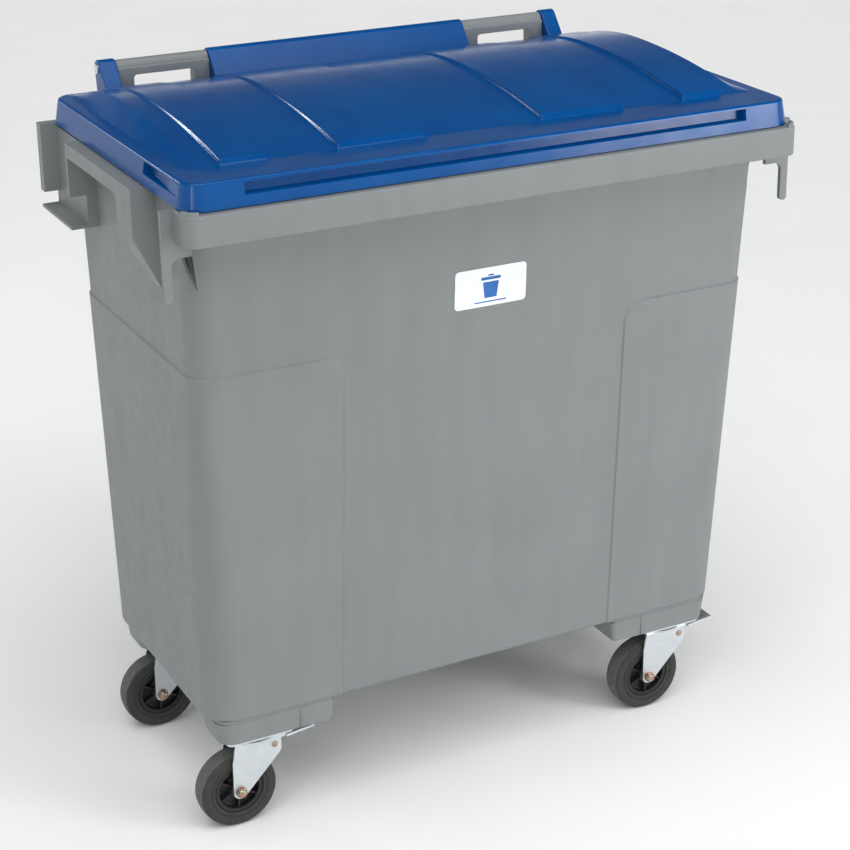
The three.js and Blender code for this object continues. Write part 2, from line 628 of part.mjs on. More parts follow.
function lid() {
  const bore = (side) => {
    const x0 = HANDLE_INNER_X - PIN_ENGAGEMENT - OVERCUT;
    const x1 = HANDLE_OUTER_X + GAP + EAR_THICKNESS + OVERCUT;
    return rodX(PIN_RADIUS + RUNNING_FIT, ...(side > 0 ? [x0, x1] : [-x1, -x0]), HINGE_Y, HINGE_Z);
  };
  const body = lidShell().add(hingeWall()).subtract(bore(-1)).subtract(bore(1));
  return namedMesh('lid', geometryOf(body), BLUE_PLASTIC());
}

function hingePin(name, side) {
  const inner = HANDLE_INNER_X - PIN_ENGAGEMENT;
  const outer = HANDLE_OUTER_X + GAP + EAR_THICKNESS + GAP;
  const at = (x0, x1) => (side > 0 ? [x0, x1] : [-x1, -x0]);
  const body = rodX(PIN_RADIUS, ...at(inner, outer + PIN_HEAD), HINGE_Y, HINGE_Z)
    .add(rodX(PIN_RADIUS + PIN_COLLAR, ...at(outer, outer + PIN_HEAD), HINGE_Y, HINGE_Z));
  return namedMesh(name, geometryOf(body), ZINC());
}

// ---------------------------------------------------------------- label and drain

function label() {
  const lean = Math.atan2(FRONT_DRAFT, RIM_BOTTOM - TUB_BOTTOM);
  const t = (LABEL_Z - TUB_BOTTOM) / (RIM_BOTTOM - TUB_BOTTOM);
  const wallY = WALL_BASE.front + (WALL_TOP.front - WALL_BASE.front) * t;
  const [halfWidth, halfHeight] = [LABEL_WIDTH / 2, LABEL_HEIGHT / 2];
  const outline = roundedRect(-halfWidth, halfWidth, -halfHeight, halfHeight, LABEL_CORNER, 5);
  const shape = new THREE.Shape(outline.map(([x, z]) => new THREE.Vector2(x, z)));
  const geometry = new THREE.ExtrudeGeometry(shape, { depth: LABEL_SHEET, bevelEnabled: false });
  const mesh = namedMesh('label_plate', geometry, LABEL_WHITE());
  mesh.rotation.x = Math.PI / 2 + lean;
  mesh.position.set(0, wallY - GAP / Math.cos(lean), LABEL_Z);
  return mesh;
}

function drainPlug() {
  const top = TUB_BOTTOM - GAP - DRAIN_SEAL - GAP;
  const body = union(
    rodZ(DRAIN_RADIUS, top - OVERCUT, TUB_BOTTOM + WALL, 0, 0, DRAIN_SEGMENTS),
    rodZ(DRAIN_RADIUS + DRAIN_COLLAR, top - DRAIN_CAP, top, 0, 0, DRAIN_SEGMENTS),
    box([-DRAIN_RADIUS, DRAIN_RADIUS], [-DRAIN_GRIP_WIDTH / 2, DRAIN_GRIP_WIDTH / 2],
      [top - DRAIN_CAP - DRAIN_GRIP, top - OVERCUT]),
  );
  return namedMesh('drain_plug', geometryOf(body), BLACK_PLASTIC());
}

function drainSeal() {
  const top = TUB_BOTTOM - GAP;
  const inner = DRAIN_RADIUS + SEAL_MARGIN;
  const outer = DRAIN_RADIUS + DRAIN_COLLAR - SEAL_MARGIN;
  const ring = turned([[inner, -DRAIN_SEAL], [outer, -DRAIN_SEAL], [outer, 0], [inner, 0]], DRAIN_SEGMENTS);
  const mesh = namedMesh('drain_seal', ring, RUBBER());
  mesh.rotation.x = Math.PI / 2;
  mesh.position.z = top;
  return mesh;
}

// ---------------------------------------------------------------- castors
// Each castor is drawn about its swivel axis, with its wheel trailing towards -X.

function topPlate(name) {
  const outline = roundedRect(-PLATE_LENGTH / 2, PLATE_LENGTH / 2, -PLATE_DEPTH / 2, PLATE_DEPTH / 2,
    PLATE_CORNER, 2);
  const holes = BOLT_PLACES.map(([x, y]) =>
    rodZ(BOLT_RADIUS + GAP, PLATE_BOTTOM - OVERCUT, PLATE_TOP + OVERCUT, x, y, BOLT_SEGMENTS));
  const body = loft([{ z: PLATE_BOTTOM, outline }, { z: PLATE_TOP, outline }])
    .subtract(union(...holes, rodZ(KINGPIN_RADIUS + GAP, PLATE_BOTTOM - OVERCUT, PLATE_TOP + OVERCUT, 0, 0)));
  return namedMesh(`${name}_top_plate`, geometryOf(body), ZINC());
}

/** A ring with a waist, the sealed double ball race between plate and fork. */
function swivelBearing(name) {
  const bore = KINGPIN_RADIUS + GAP;
  const ring = turned([[bore, -BEARING_HEIGHT], [BEARING_RADIUS, -BEARING_HEIGHT],
    [BEARING_RADIUS - BEARING_WAIST, -BEARING_HEIGHT / 2], [BEARING_RADIUS, 0], [bore, 0]], 20);
  const mesh = namedMesh(`${name}_swivel_bearing`, ring, BLACK_PLASTIC());
  mesh.rotation.x = Math.PI / 2;
  mesh.position.z = BEARING_TOP;
  return mesh;
}

function kingpin(name) {
  const seat = CROWN_BOTTOM - GAP;
  const body = rodZ(KINGPIN_RADIUS, seat - KINGPIN_HEAD, PLATE_TOP - GAP, 0, 0)
    .add(rodZ(KINGPIN_RADIUS + KINGPIN_COLLAR, seat - KINGPIN_HEAD, seat, 0, 0, 6));
  return namedMesh(`${name}_kingpin`, geometryOf(body), ZINC());
}

/** The side of the fork: a shoulder under the crown that tapers down to the axle eye. */
function legOutline() {
  const eye = Array.from({ length: 9 }, (_, i) => {
    const angle = THREE.MathUtils.degToRad(180 + i * 18);
    return [-CASTOR_TRAIL + AXLE_EYE * Math.cos(angle), AXLE_Z + AXLE_EYE * Math.sin(angle)];
  });
  const shoulder = CROWN_TOP - LEG_SHOULDER;
  return [[LEG_BACK_X, CROWN_TOP], [LEG_FRONT_X, CROWN_TOP], [-CASTOR_TRAIL - AXLE_EYE, shoulder - LEG_KNEE],
    ...eye, [LEG_BACK_X, shoulder]].reverse();
}

function fork(name, braked) {
  const across = [-FORK_HALF - OVERCUT, FORK_HALF + OVERCUT];
  const leg = (y0, y1) => prismY(legOutline(), y0, y1);
  const crown = rodZ(CROWN_RADIUS, CROWN_BOTTOM, CROWN_TOP, 0, 0, 24)
    .add(box([LEG_FRONT_X + CROWN_SETBACK, LEG_BACK_X - CROWN_SETBACK], [-FORK_HALF, FORK_HALF],
      [CROWN_BOTTOM, CROWN_TOP]));
  let body = union(crown, leg(-FORK_HALF, -LEG_GAP / 2), leg(LEG_GAP / 2, FORK_HALF))
    .subtract(rodZ(KINGPIN_RADIUS + GAP, CROWN_BOTTOM - OVERCUT, CROWN_TOP + OVERCUT, 0, 0))
    .subtract(rodY(AXLE_RADIUS + GAP, ...across, -CASTOR_TRAIL, AXLE_Z));
  if (braked) {
    body = body.subtract(rodY(PEDAL_PIN_RADIUS + GAP, ...across, PEDAL_PIVOT_X, PEDAL_PIVOT_Z, 12));
  }
  return namedMesh(`${name}_fork`, geometryOf(body), ZINC());
}

function tyre(name) {
  const half = TYRE_WIDTH / 2;
  const shoulder = [[WHEEL_RADIUS - SHOULDER_DROP, half], [WHEEL_RADIUS - TREAD_CROWN, half - SHOULDER_WIDTH]];
  const seat = [[TYRE_INNER, half - TYRE_BEVEL], [TYRE_INNER + TYRE_BEVEL, half]];
  const near = [...seat, ...shoulder].map(([radius, y]) => [radius, -y]);
  const ring = turned([...near, [WHEEL_RADIUS, 0], ...shoulder.reverse(), ...seat.reverse()], WHEEL_SEGMENTS);
  return namedMesh(`${name}_tyre`, ring, RUBBER());
}

function wheelCentre(name) {
  const bore = AXLE_RADIUS + RUNNING_FIT;
  const outer = TYRE_INNER - GAP;
  const rimHalf = TYRE_WIDTH / 2 - TYRE_BEVEL;
  const far = [[outer, rimHalf], [outer - CENTRE_RIM, rimHalf], [outer - CENTRE_RIM, WEB / 2],
    [HUB_RADIUS, WEB / 2], [HUB_RADIUS, HUB_WIDTH / 2], [bore, HUB_WIDTH / 2]];
  const near = far.map(([radius, y]) => [radius, -y]).reverse();
  return namedMesh(`${name}_wheel_centre`, turned([...near, ...far], WHEEL_SEGMENTS), BLACK_PLASTIC());
}

function axleBolt(name) {
  const seat = FORK_HALF + GAP;
  const body = rodY(AXLE_RADIUS, -seat - NUT_HEIGHT - THREAD_END, seat + OVERCUT, 0, 0, 16)
    .add(rodY(NUT_RADIUS, seat, seat + AXLE_HEAD, 0, 0, 6));
  return namedMesh(`${name}_axle_bolt`, geometryOf(body), ZINC());
}

function axleNut(name) {
  const seat = -FORK_HALF - GAP;
  const body = rodY(NUT_RADIUS, seat - NUT_HEIGHT, seat, 0, 0, 6)
    .subtract(rodY(AXLE_RADIUS + GAP, seat - NUT_HEIGHT - OVERCUT, seat + OVERCUT, 0, 0, 16));
  return namedMesh(`${name}_axle_nut`, geometryOf(body), BRASS());
}

/** A strip of sheet between two [x, z] points, as wide as the pedal. */
function strip([x0, z0], [x1, z1], thickness) {
  const half = thickness / 2 / Math.hypot(x1 - x0, z1 - z0);
  const [offX, offZ] = [(z0 - z1) * half, (x1 - x0) * half];
  const outline = [[x0 - offX, z0 - offZ], [x1 - offX, z1 - offZ],
    [x1 + offX, z1 + offZ], [x0 + offX, z0 + offZ]];
  const width = LEG_GAP / 2 - PEDAL_CLEARANCE;
  return prismY(outline, -width, width);
}

/** A bell crank of bent sheet: the tread reaches outwards, the shoe hangs above the tyre. */
function brakePedal(name) {
  const pivot = [PEDAL_PIVOT_X, PEDAL_PIVOT_Z];
  const width = LEG_GAP / 2 - PEDAL_CLEARANCE;
  const angle = THREE.MathUtils.degToRad(SHOE_ANGLE);
  const reach = WHEEL_RADIUS + SHOE_CLEARANCE;
  const shoe = [-CASTOR_TRAIL + reach * Math.cos(angle), AXLE_Z + reach * Math.sin(angle)];
  const body = union(
    rodY(PEDAL_EYE, -width, width, ...pivot, 16),
    strip(shoe, pivot, SHOE_THICKNESS),
    strip(pivot, [PEDAL_REACH, PEDAL_PIVOT_Z + PEDAL_RISE], PEDAL_SHEET),
  ).subtract(rodY(PEDAL_PIN_RADIUS + GAP, -width - OVERCUT, width + OVERCUT, ...pivot, 12));
  return namedMesh(`${name}_brake_pedal`, geometryOf(body), ZINC());
}

function brakePin(name) {
  const seat = FORK_HALF + GAP;
  const end = seat + PEDAL_PIN_HEAD;
  const at = [PEDAL_PIVOT_X, PEDAL_PIVOT_Z, 12];
  const head = PEDAL_PIN_RADIUS + PEDAL_PIN_COLLAR;
  const body = union(rodY(PEDAL_PIN_RADIUS, -end, end, ...at), rodY(head, seat, end, ...at),
    rodY(head, -end, -seat, ...at));
  return namedMesh(`${name}_brake_pin`, geometryOf(body), BRASS());
}

function plateBolt(name, x, y) {
  const head = PLATE_BOTTOM - GAP;
  const body = rodZ(BOLT_RADIUS, head - OVERCUT, CASTOR_HEIGHT + BOLT_REACH, 0, 0, BOLT_SEGMENTS)
    .add(rodZ(BOLT_HEAD_RADIUS, head - BOLT_HEAD, head, 0, 0, 6));
  const mesh = namedMesh(name, geometryOf(body), ZINC());
  mesh.position.set(x, y, 0);
  return mesh;
}

function castor({ name, x, y, brake }) {
  const group = new THREE.Group();
  group.position.set(x, y, 0);
  group.add(topPlate(name), swivelBearing(name), kingpin(name), fork(name, brake));
  const wheel = new THREE.Group();
  wheel.position.set(-CASTOR_TRAIL, 0, AXLE_Z);
  wheel.add(tyre(name), wheelCentre(name), axleBolt(name), axleNut(name));
  group.add(wheel);
  if (brake) group.add(brakePedal(name), brakePin(name));
  BOLT_PLACES.forEach(([dx, dy], i) => group.add(plateBolt(`${name}_plate_bolt_${i + 1}`, dx, dy)));
  return group;
}

// ---------------------------------------------------------------- the container

const container = new THREE.Group();
container.add(tub(), lid(), hingePin('hinge_pin_left', -1), hingePin('hinge_pin_right', 1));
container.add(label(), drainPlug(), drainSeal());
for (const place of CASTORS) container.add(castor(place));

export default container;
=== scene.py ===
"""A four-wheeled waste container: moulded grey tub, glossy blue domed lid, zinc-plated swivel castors.

Shapes are drawn in millimetres in the frame's own axes (+X right, front at -Y, +Z up) and turned to metres
when a piece is placed.
"""
import math

import bmesh
import bpy
from mathutils import Matrix, Vector


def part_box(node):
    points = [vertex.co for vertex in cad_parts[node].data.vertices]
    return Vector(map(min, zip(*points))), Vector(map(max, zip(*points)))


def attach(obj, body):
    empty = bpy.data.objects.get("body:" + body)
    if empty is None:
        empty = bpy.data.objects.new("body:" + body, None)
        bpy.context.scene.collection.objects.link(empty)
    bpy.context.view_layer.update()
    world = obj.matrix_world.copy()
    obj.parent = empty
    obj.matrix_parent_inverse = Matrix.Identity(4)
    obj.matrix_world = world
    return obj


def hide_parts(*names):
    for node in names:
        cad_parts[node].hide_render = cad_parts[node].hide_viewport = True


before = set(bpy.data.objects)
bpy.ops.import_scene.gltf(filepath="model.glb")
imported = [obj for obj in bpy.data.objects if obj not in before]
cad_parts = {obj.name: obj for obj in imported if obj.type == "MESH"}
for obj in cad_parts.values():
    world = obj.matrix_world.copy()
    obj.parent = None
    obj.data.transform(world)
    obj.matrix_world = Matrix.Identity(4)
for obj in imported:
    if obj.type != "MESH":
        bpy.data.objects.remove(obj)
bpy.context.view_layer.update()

MM = 0.001

# ------------------------------------------------------------------ sizes


def cad_box(node):
    """A CAD node's lowest and highest corners in millimetres."""
    low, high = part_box(node)
    return Vector(low) / MM, Vector(high) / MM


TUB_LOW, TUB_HIGH = cad_box("tub")
LID_LOW, LID_HIGH = cad_box("lid")
PIN_LOW, PIN_HIGH = cad_box("hinge_pin_right")

FRONT_Y = TUB_LOW.y
GRIP_X = TUB_HIGH.x
RIM_X = GRIP_X - 22
HINGE_Y = (PIN_LOW.y + PIN_HIGH.y) / 2
HINGE_Z = (PIN_LOW.z + PIN_HIGH.z) / 2
BARREL_RADIUS = LID_HIGH.z - HINGE_Z
LID_BOTTOM = LID_LOW.z
RIM_TOP = LID_BOTTOM - 2
RIM_HEIGHT = 57
RIM_BOTTOM = RIM_TOP - RIM_HEIGHT
RIM_REAR_Y = HINGE_Y - 15.5
RIM_CORNER = 28
FLANGE = 6
FOOT_BOTTOM = TUB_LOW.z
TUB_BOTTOM = FOOT_BOTTOM + 50
FOOT_CORNER = 30
FOOT_INNER_CORNER = 10
WALL = 5
WALL_TOP = {"x": RIM_X - 30, "front": FRONT_Y + 81, "rear": RIM_REAR_Y - 36, "corner": 50}
WALL_BASE = {"x": RIM_X - 55, "front": FRONT_Y + 143, "rear": RIM_REAR_Y - 48, "corner": 60}
BASE_FILLET = 10
PANEL_X = 303
PANEL_TOP = 980
PANEL_STEP = 3
PANEL_CORNER = 45
SHELL_TOP = RIM_TOP - 3

HANDLE_INNER_X = 289
HANDLE_OUTER_X = 482
HANDLE_BAR = 14

LID_X = RIM_X - 5
LID_FRONT = FRONT_Y + 13
LID_REAR = RIM_REAR_Y - 9
LEDGE_Z = LID_BOTTOM + 48
LID_SKIN = 3.6
SKIRT_DRAFT = 7
LID_CORNER = 34
LID_EDGE = 5
DOME_FRONT = LID_FRONT + 96
DOME_REAR = LID_REAR - 10
DOME_PEAK_Y = 100
DOME_RISE = 38
SLOPE_FOOT_X = LID_X - 34
DOME_X = LID_X - 62
BANDS = ((116, 300), (430, 523))
BAND_EDGE = 4
BAND_FRONT_RISE = 9
BAND_REAR_RISE = 2.5
CHANNEL_X = 515
CHANNEL_DEPTH = 18

CASTORS = ("front_left", "front_right", "rear_left", "rear_right")

# ------------------------------------------------------------------ materials


def linear(hex_colour):
    """An sRGB hex colour as linear RGBA."""
    channels = (int(hex_colour[i:i + 2], 16) / 255 for i in (1, 3, 5))
    return (*(c / 12.92 if c <= 0.04045 else ((c + 0.055) / 1.055) ** 2.4 for c in channels), 1.0)


def add(tree, kind, settings=(), links=()):
    """Adds a shader node; settings fill its values or inputs, links pair an input with (node, output)."""
    node = tree.nodes.new(kind)
    for key, value in dict(settings).items():
        if isinstance(key, str) and hasattr(node, key):
            setattr(node, key, value)
        else:
            node.inputs[key].default_value = value
    for key, (source, output) in dict(links).items():
        tree.links.new(source.outputs[output], node.inputs[key])
    return node


def new_material(name):
    """An empty material's tree, and where its patterns are measured from: the piece's own metres."""
    made = bpy.data.materials.new(name)
    made.use_nodes = True
    made.node_tree.nodes.clear()
    place = add(made.node_tree, "ShaderNodeTexCoord")
    return made, made.node_tree, {"Vector": (place, "Object")}


def repeats(size_mm):
    """The pattern scale that makes a feature about size_mm across."""
    return 1 / (size_mm * MM)


def grey_hdpe():
    """Injection-moulded HDPE: a fine spark-eroded grain, faint upright flow marks and slight clouding."""
    made, tree, here = new_material("grey_hdpe_moulded")
    upright = add(tree, "ShaderNodeMapping", {"Scale": (1, 1, 0.12)}, here)
    flow = add(tree, "ShaderNodeTexNoise", {"Scale": repeats(40), "Detail": 3.0},
               {"Vector": (upright, "Vector")})
    clouds = add(tree, "ShaderNodeTexNoise", {"Scale": repeats(220), "Detail": 3.0}, here)
    both = add(tree, "ShaderNodeMath", {"operation": "ADD"}, {0: (clouds, "Fac"), 1: (flow, "Fac")})
    amount = add(tree, "ShaderNodeMapRange", {"From Min": 0.7, "From Max": 1.3}, {"Value": (both, 0)})
    colour = add(tree, "ShaderNodeMix", {"data_type": "RGBA", 6: linear("#7b8081"), 7: linear("#818687")},
                 {0: (amount, "Result")})
    wear = add(tree, "ShaderNodeTexNoise", {"Scale": repeats(30), "Detail": 4.0}, here)
    gloss = add(tree, "ShaderNodeMapRange", {"From Min": 0.3, "From Max": 0.7, "To Min": 0.46, "To Max": 0.58},
                {"Value": (wear, "Fac")})
    marks = add(tree, "ShaderNodeBump", {"Distance": 0.06 * MM}, {"Height": (flow, "Fac")})
    grain = add(tree, "ShaderNodeTexNoise", {"Scale": repeats(2.2), "Detail": 2.0}, here)
    relief = add(tree, "ShaderNodeBump", {"Distance": 0.09 * MM},
                 {"Height": (grain, "Fac"), "Normal": (marks, 0)})
    shader = add(tree, "ShaderNodeBsdfPrincipled", {"IOR": 1.54},
                 {"Base Color": (colour, 2), "Roughness": (gloss, "Result"), "Normal": (relief, 0)})
    add(tree, "ShaderNodeOutputMaterial", {}, {"Surface": (shader, "BSDF")})
    return made


def blue_hdpe():
    """The lid's glossier moulding: deep blue with an orange-peel surface and faint sink marks."""
    made, tree, here = new_material("blue_hdpe_glossy")
    clouds = add(tree, "ShaderNodeTexNoise", {"Scale": repeats(180), "Detail": 3.0}, here)
    amount = add(tree, "ShaderNodeMapRange", {"From Min": 0.3, "From Max": 0.7}, {"Value": (clouds, "Fac")})
    colour = add(tree, "ShaderNodeMix", {"data_type": "RGBA", 6: linear("#00478a"), 7: linear("#005094")},
                 {0: (amount, "Result")})
    wear = add(tree, "ShaderNodeTexNoise", {"Scale": repeats(45), "Detail": 4.0}, here)
    gloss = add(tree, "ShaderNodeMapRange", {"From Min": 0.3, "From Max": 0.7, "To Min": 0.15, "To Max": 0.24},
                {"Value": (wear, "Fac")})
    sinks = add(tree, "ShaderNodeTexNoise", {"Scale": repeats(160), "Detail": 1.0}, here)
    sunk = add(tree, "ShaderNodeBump", {"Distance": 0.4 * MM}, {"Height": (sinks, "Fac")})
    peel = add(tree, "ShaderNodeTexNoise", {"Scale": repeats(7), "Detail": 1.0}, here)
    relief = add(tree, "ShaderNodeBump", {"Distance": 0.02 * MM},
                 {"Height": (peel, "Fac"), "Normal": (sunk, 0)})
    shader = add(tree, "ShaderNodeBsdfPrincipled", {"IOR": 1.54, "Specular IOR Level": 0.22},
                 {"Base Color": (colour, 2), "Roughness": (gloss, "Result"), "Normal": (relief, 0)})
    add(tree, "ShaderNodeOutputMaterial", {}, {"Surface": (shader, "BSDF")})
    return made


def zinc_steel():
    """Bright zinc-plated pressed steel: soft clouded sheen, fine drawing marks and small stains."""
    made, tree, here = new_material("zinc_plated_steel")
    clouds = add(tree, "ShaderNodeTexNoise", {"Scale": repeats(24), "Detail": 3.0}, here)
    amount = add(tree, "ShaderNodeMapRange", {"From Min": 0.3, "From Max": 0.7}, {"Value": (clouds, "Fac")})
    colour = add(tree, "ShaderNodeMix", {"data_type": "RGBA", 6: linear("#d3d9dc"), 7: linear("#dde2e5")},
                 {0: (amount, "Result")})
    stains = add(tree, "ShaderNodeTexNoise", {"Scale": repeats(9), "Detail": 5.0}, here)
    gloss = add(tree, "ShaderNodeMapRange", {"From Min": 0.3, "From Max": 0.7, "To Min": 0.36, "To Max": 0.44},
                {"Value": (stains, "Fac")})
    drawn = add(tree, "ShaderNodeMapping", {"Scale": (1, 1, 0.15)}, here)
    marks = add(tree, "ShaderNodeTexNoise", {"Scale": repeats(3)}, {"Vector": (drawn, "Vector")})
    relief = add(tree, "ShaderNodeBump", {"Distance": 0.02 * MM}, {"Height": (marks, "Fac")})
    shader = add(tree, "ShaderNodeBsdfPrincipled", {"Metallic": 1.0},
                 {"Base Color": (colour, 2), "Roughness": (gloss, "Result"), "Normal": (relief, 0)})
    add(tree, "ShaderNodeOutputMaterial", {}, {"Surface": (shader, "BSDF")})
    return made


def yellow_steel():
    """Yellow-passivated fasteners: copper patches that wear through to grey-green zinc."""
    made, tree, here = new_material("yellow_passivated_steel")
    patches = add(tree, "ShaderNodeTexNoise", {"Scale": repeats(7), "Detail": 2.0}, here)
    amount = add(tree, "ShaderNodeMapRange", {"From Min": 0.42, "From Max": 0.58}, {"Value": (patches, "Fac")})
    colour = add(tree, "ShaderNodeMix", {"data_type": "RGBA", 6: linear("#a8a996"), 7: linear("#b58a7c")},
                 {0: (amount, "Result")})
    scratches = add(tree, "ShaderNodeTexNoise", {"Scale": repeats(1.5)}, here)
    relief = add(tree, "ShaderNodeBump", {"Distance": 0.04 * MM}, {"Height": (scratches, "Fac")})
    shader = add(tree, "ShaderNodeBsdfPrincipled", {"Metallic": 1.0, "Roughness": 0.38},
                 {"Base Color": (colour, 2), "Normal": (relief, 0)})
    add(tree, "ShaderNodeOutputMaterial", {}, {"Surface": (shader, "BSDF")})
    return made


def tyre_rubber(name, dark, light):
    """Solid moulded rubber: matt and grainy, with pale bloom in patches."""
    made, tree, here = new_material(name)
    bloom = add(tree, "ShaderNodeTexNoise", {"Scale": repeats(12), "Detail": 5.0}, here)
    amount = add(tree, "ShaderNodeMapRange", {"From Min": 0.3, "From Max": 0.7}, {"Value": (bloom, "Fac")})
    colour = add(tree, "ShaderNodeMix", {"data_type": "RGBA", 6: linear(dark), 7: linear(light)},
                 {0: (amount, "Result")})
    gloss = add(tree, "ShaderNodeMapRange", {"From Min": 0.3, "From Max": 0.7, "To Min": 0.66, "To Max": 0.86},
                {"Value": (bloom, "Fac")})
    grain = add(tree, "ShaderNodeTexNoise", {"Scale": repeats(2), "Detail": 3.0}, here)
    relief = add(tree, "ShaderNodeBump", {"Distance": 0.16 * MM}, {"Height": (grain, "Fac")})
    shader = add(tree, "ShaderNodeBsdfPrincipled", {"IOR": 1.52},
                 {"Base Color": (colour, 2), "Roughness": (gloss, "Result"), "Normal": (relief, 0)})
    add(tree, "ShaderNodeOutputMaterial", {}, {"Surface": (shader, "BSDF")})
    return made


def black_polypropylene():
    """Moulded polypropylene: near-black with a satin grain."""
    made, tree, here = new_material("black_polypropylene")
    clouds = add(tree, "ShaderNodeTexNoise", {"Scale": repeats(10), "Detail": 3.0}, here)
    amount = add(tree, "ShaderNodeMapRange", {"From Min": 0.3, "From Max": 0.7}, {"Value": (clouds, "Fac")})
    colour = add(tree, "ShaderNodeMix", {"data_type": "RGBA", 6: linear("#171817"), 7: linear("#232422")},
                 {0: (amount, "Result")})
    grain = add(tree, "ShaderNodeTexNoise", {"Scale": repeats(1.6)}, here)
    relief = add(tree, "ShaderNodeBump", {"Distance": 0.06 * MM}, {"Height": (grain, "Fac")})
    shader = add(tree, "ShaderNodeBsdfPrincipled", {"Roughness": 0.5, "IOR": 1.49},
                 {"Base Color": (colour, 2), "Normal": (relief, 0)})
    add(tree, "ShaderNodeOutputMaterial", {}, {"Surface": (shader, "BSDF")})
    return made


def printed_film(name, dark, light, roughness):
    """Printed polymer film: smooth, with a faint pressed-on waviness and a slight change of density."""
    made, tree, here = new_material(name)
    density = add(tree, "ShaderNodeTexNoise", {"Scale": repeats(25), "Detail": 2.0}, here)
    amount = add(tree, "ShaderNodeMapRange", {"From Min": 0.3, "From Max": 0.7}, {"Value": (density, "Fac")})
    colour = add(tree, "ShaderNodeMix", {"data_type": "RGBA", 6: linear(dark), 7: linear(light)},
                 {0: (amount, "Result")})
    waves = add(tree, "ShaderNodeTexNoise", {"Scale": repeats(12), "Detail": 1.0}, here)
    relief = add(tree, "ShaderNodeBump", {"Distance": 0.06 * MM}, {"Height": (waves, "Fac")})
    shader = add(tree, "ShaderNodeBsdfPrincipled", {"Roughness": roughness, "IOR": 1.5},
                 {"Base Color": (colour, 2), "Normal": (relief, 0)})
    add(tree, "ShaderNodeOutputMaterial", {}, {"Surface": (shader, "BSDF")})
    return made


def studio_floor():
    """Matt white paper sweep, very slightly uneven in tone."""
    made, tree, here = new_material("white_paper_floor")
    tone = add(tree, "ShaderNodeTexNoise", {"Scale": repeats(400)}, here)
    colour = add(tree, "ShaderNodeMix", {"data_type": "RGBA", 6: linear("#f5f6f6"), 7: linear("#fafafa")},
                 {0: (tone, "Fac")})
    shader = add(tree, "ShaderNodeBsdfPrincipled", {"Roughness": 0.9}, {"Base Color": (colour, 2)})
    add(tree, "ShaderNodeOutputMaterial", {}, {"Surface": (shader, "BSDF")})
    return made


GREY = grey_hdpe()
BLUE = blue_hdpe()
ZINC = zinc_steel()
BRASS = yellow_steel()
RUBBER = tyre_rubber("moulded_rubber", "#262826", "#3b3d3a")
TREAD = tyre_rubber("dusty_rubber_tread", "#4c4e4b", "#636561")
BLACK = black_polypropylene()
FILM = printed_film("label_film_white", "#e8edf0", "#f4f7f8", 0.34)
INK = printed_film("screen_print_ink", "#175ca4", "#1f6bb8", 0.4)

# ------------------------------------------------------------------ mesh tools


def smoothstep(low, high, value):
    t = min(max((value - low) / (high - low), 0.0), 1.0)
    return t * t * (3 - 2 * t)


def arc_points(cx, cy, radius, start, end, steps):
    """Points on an arc, angles in degrees."""
    angles = (math.radians(start + (end - start) * i / steps) for i in range(steps + 1))
    return [(cx + radius * math.cos(a), cy + radius * math.sin(a)) for a in angles]


def rounded_outline(half_x, front, rear, radius, xs=(), fractions=(), arc=8):
    """A rounded rectangle from the left side's front end, anticlockwise seen from above.

    xs are extra places along the front and back; fractions are extra places along the sides.
    """
    left, right = radius - half_x, half_x - radius
    near, far = front + radius, rear - radius
    sides = [near + f * (far - near) for f in fractions]
    return (arc_points(left, near, radius, 180, 270, arc) + [(x, front) for x in xs]
            + arc_points(right, near, radius, 270, 360, arc) + [(half_x, y) for y in sides]
            + arc_points(right, far, radius, 0, 90, arc) + [(x, rear) for x in reversed(xs)]
            + arc_points(left, far, radius, 90, 180, arc) + [(-half_x, y) for y in reversed(sides)])


def skin(rings, closed=False):
    """A mesh through rings of equal point count; an open one is capped at both ends."""
    mesh = bmesh.new()
    rows = [[mesh.verts.new(point) for point in ring] for ring in rings]
    count = len(rows[0])
    pairs = list(zip(rows, rows[1:])) + ([(rows[-1], rows[0])] if closed else [])
    for a, b in pairs:
        for i in range(count):
            j = (i + 1) % count
            mesh.faces.new((a[i], a[j], b[j], b[i]))
    if not closed:
        mesh.faces.new(tuple(reversed(rows[0])))
        mesh.faces.new(tuple(rows[-1]))
    bmesh.ops.recalc_face_normals(mesh, faces=mesh.faces)
    return mesh


def prism(points, low, high, axis):
    """A flat outline extruded along an axis: (y, z) points along X, (x, z) along Y or (x, y) along Z."""
    along = {"X": lambda u, v, w: (w, u, v), "Y": lambda u, v, w: (u, w, v), "Z": lambda u, v, w: (u, v, w)}
    return skin([[along[axis](u, v, w) for u, v in points] for w in (low, high)])


def block(x, y, z):
    """A box between pairs of coordinates."""
    return prism([(x[0], y[0]), (x[1], y[0]), (x[1], y[1]), (x[0], y[1])], z[0], z[1], "Z")


def turned(profile, axis="Z", steps=64, centre=(0, 0, 0)):
    """A closed turned piece from (radius, height) points about an axis."""
    rings = []
    for i in range(steps):
        a = 2 * math.pi * i / steps
        c, s = math.cos(a), math.sin(a)
        turn = {"Z": lambda r, h: (r * c, r * s, h), "Y": lambda r, h: (r * c, h, r * s),
                "X": lambda r, h: (h, r * c, r * s)}[axis]
        rings.append([tuple(Vector(turn(r, h)) + Vector(centre)) for r, h in profile])
    mesh = skin(rings, closed=True)
    bmesh.ops.remove_doubles(mesh, verts=mesh.verts, dist=1e-4)
    bmesh.ops.dissolve_degenerate(mesh, edges=mesh.edges, dist=1e-4)
    bmesh.ops.recalc_face_normals(mesh, faces=mesh.faces)
    return mesh


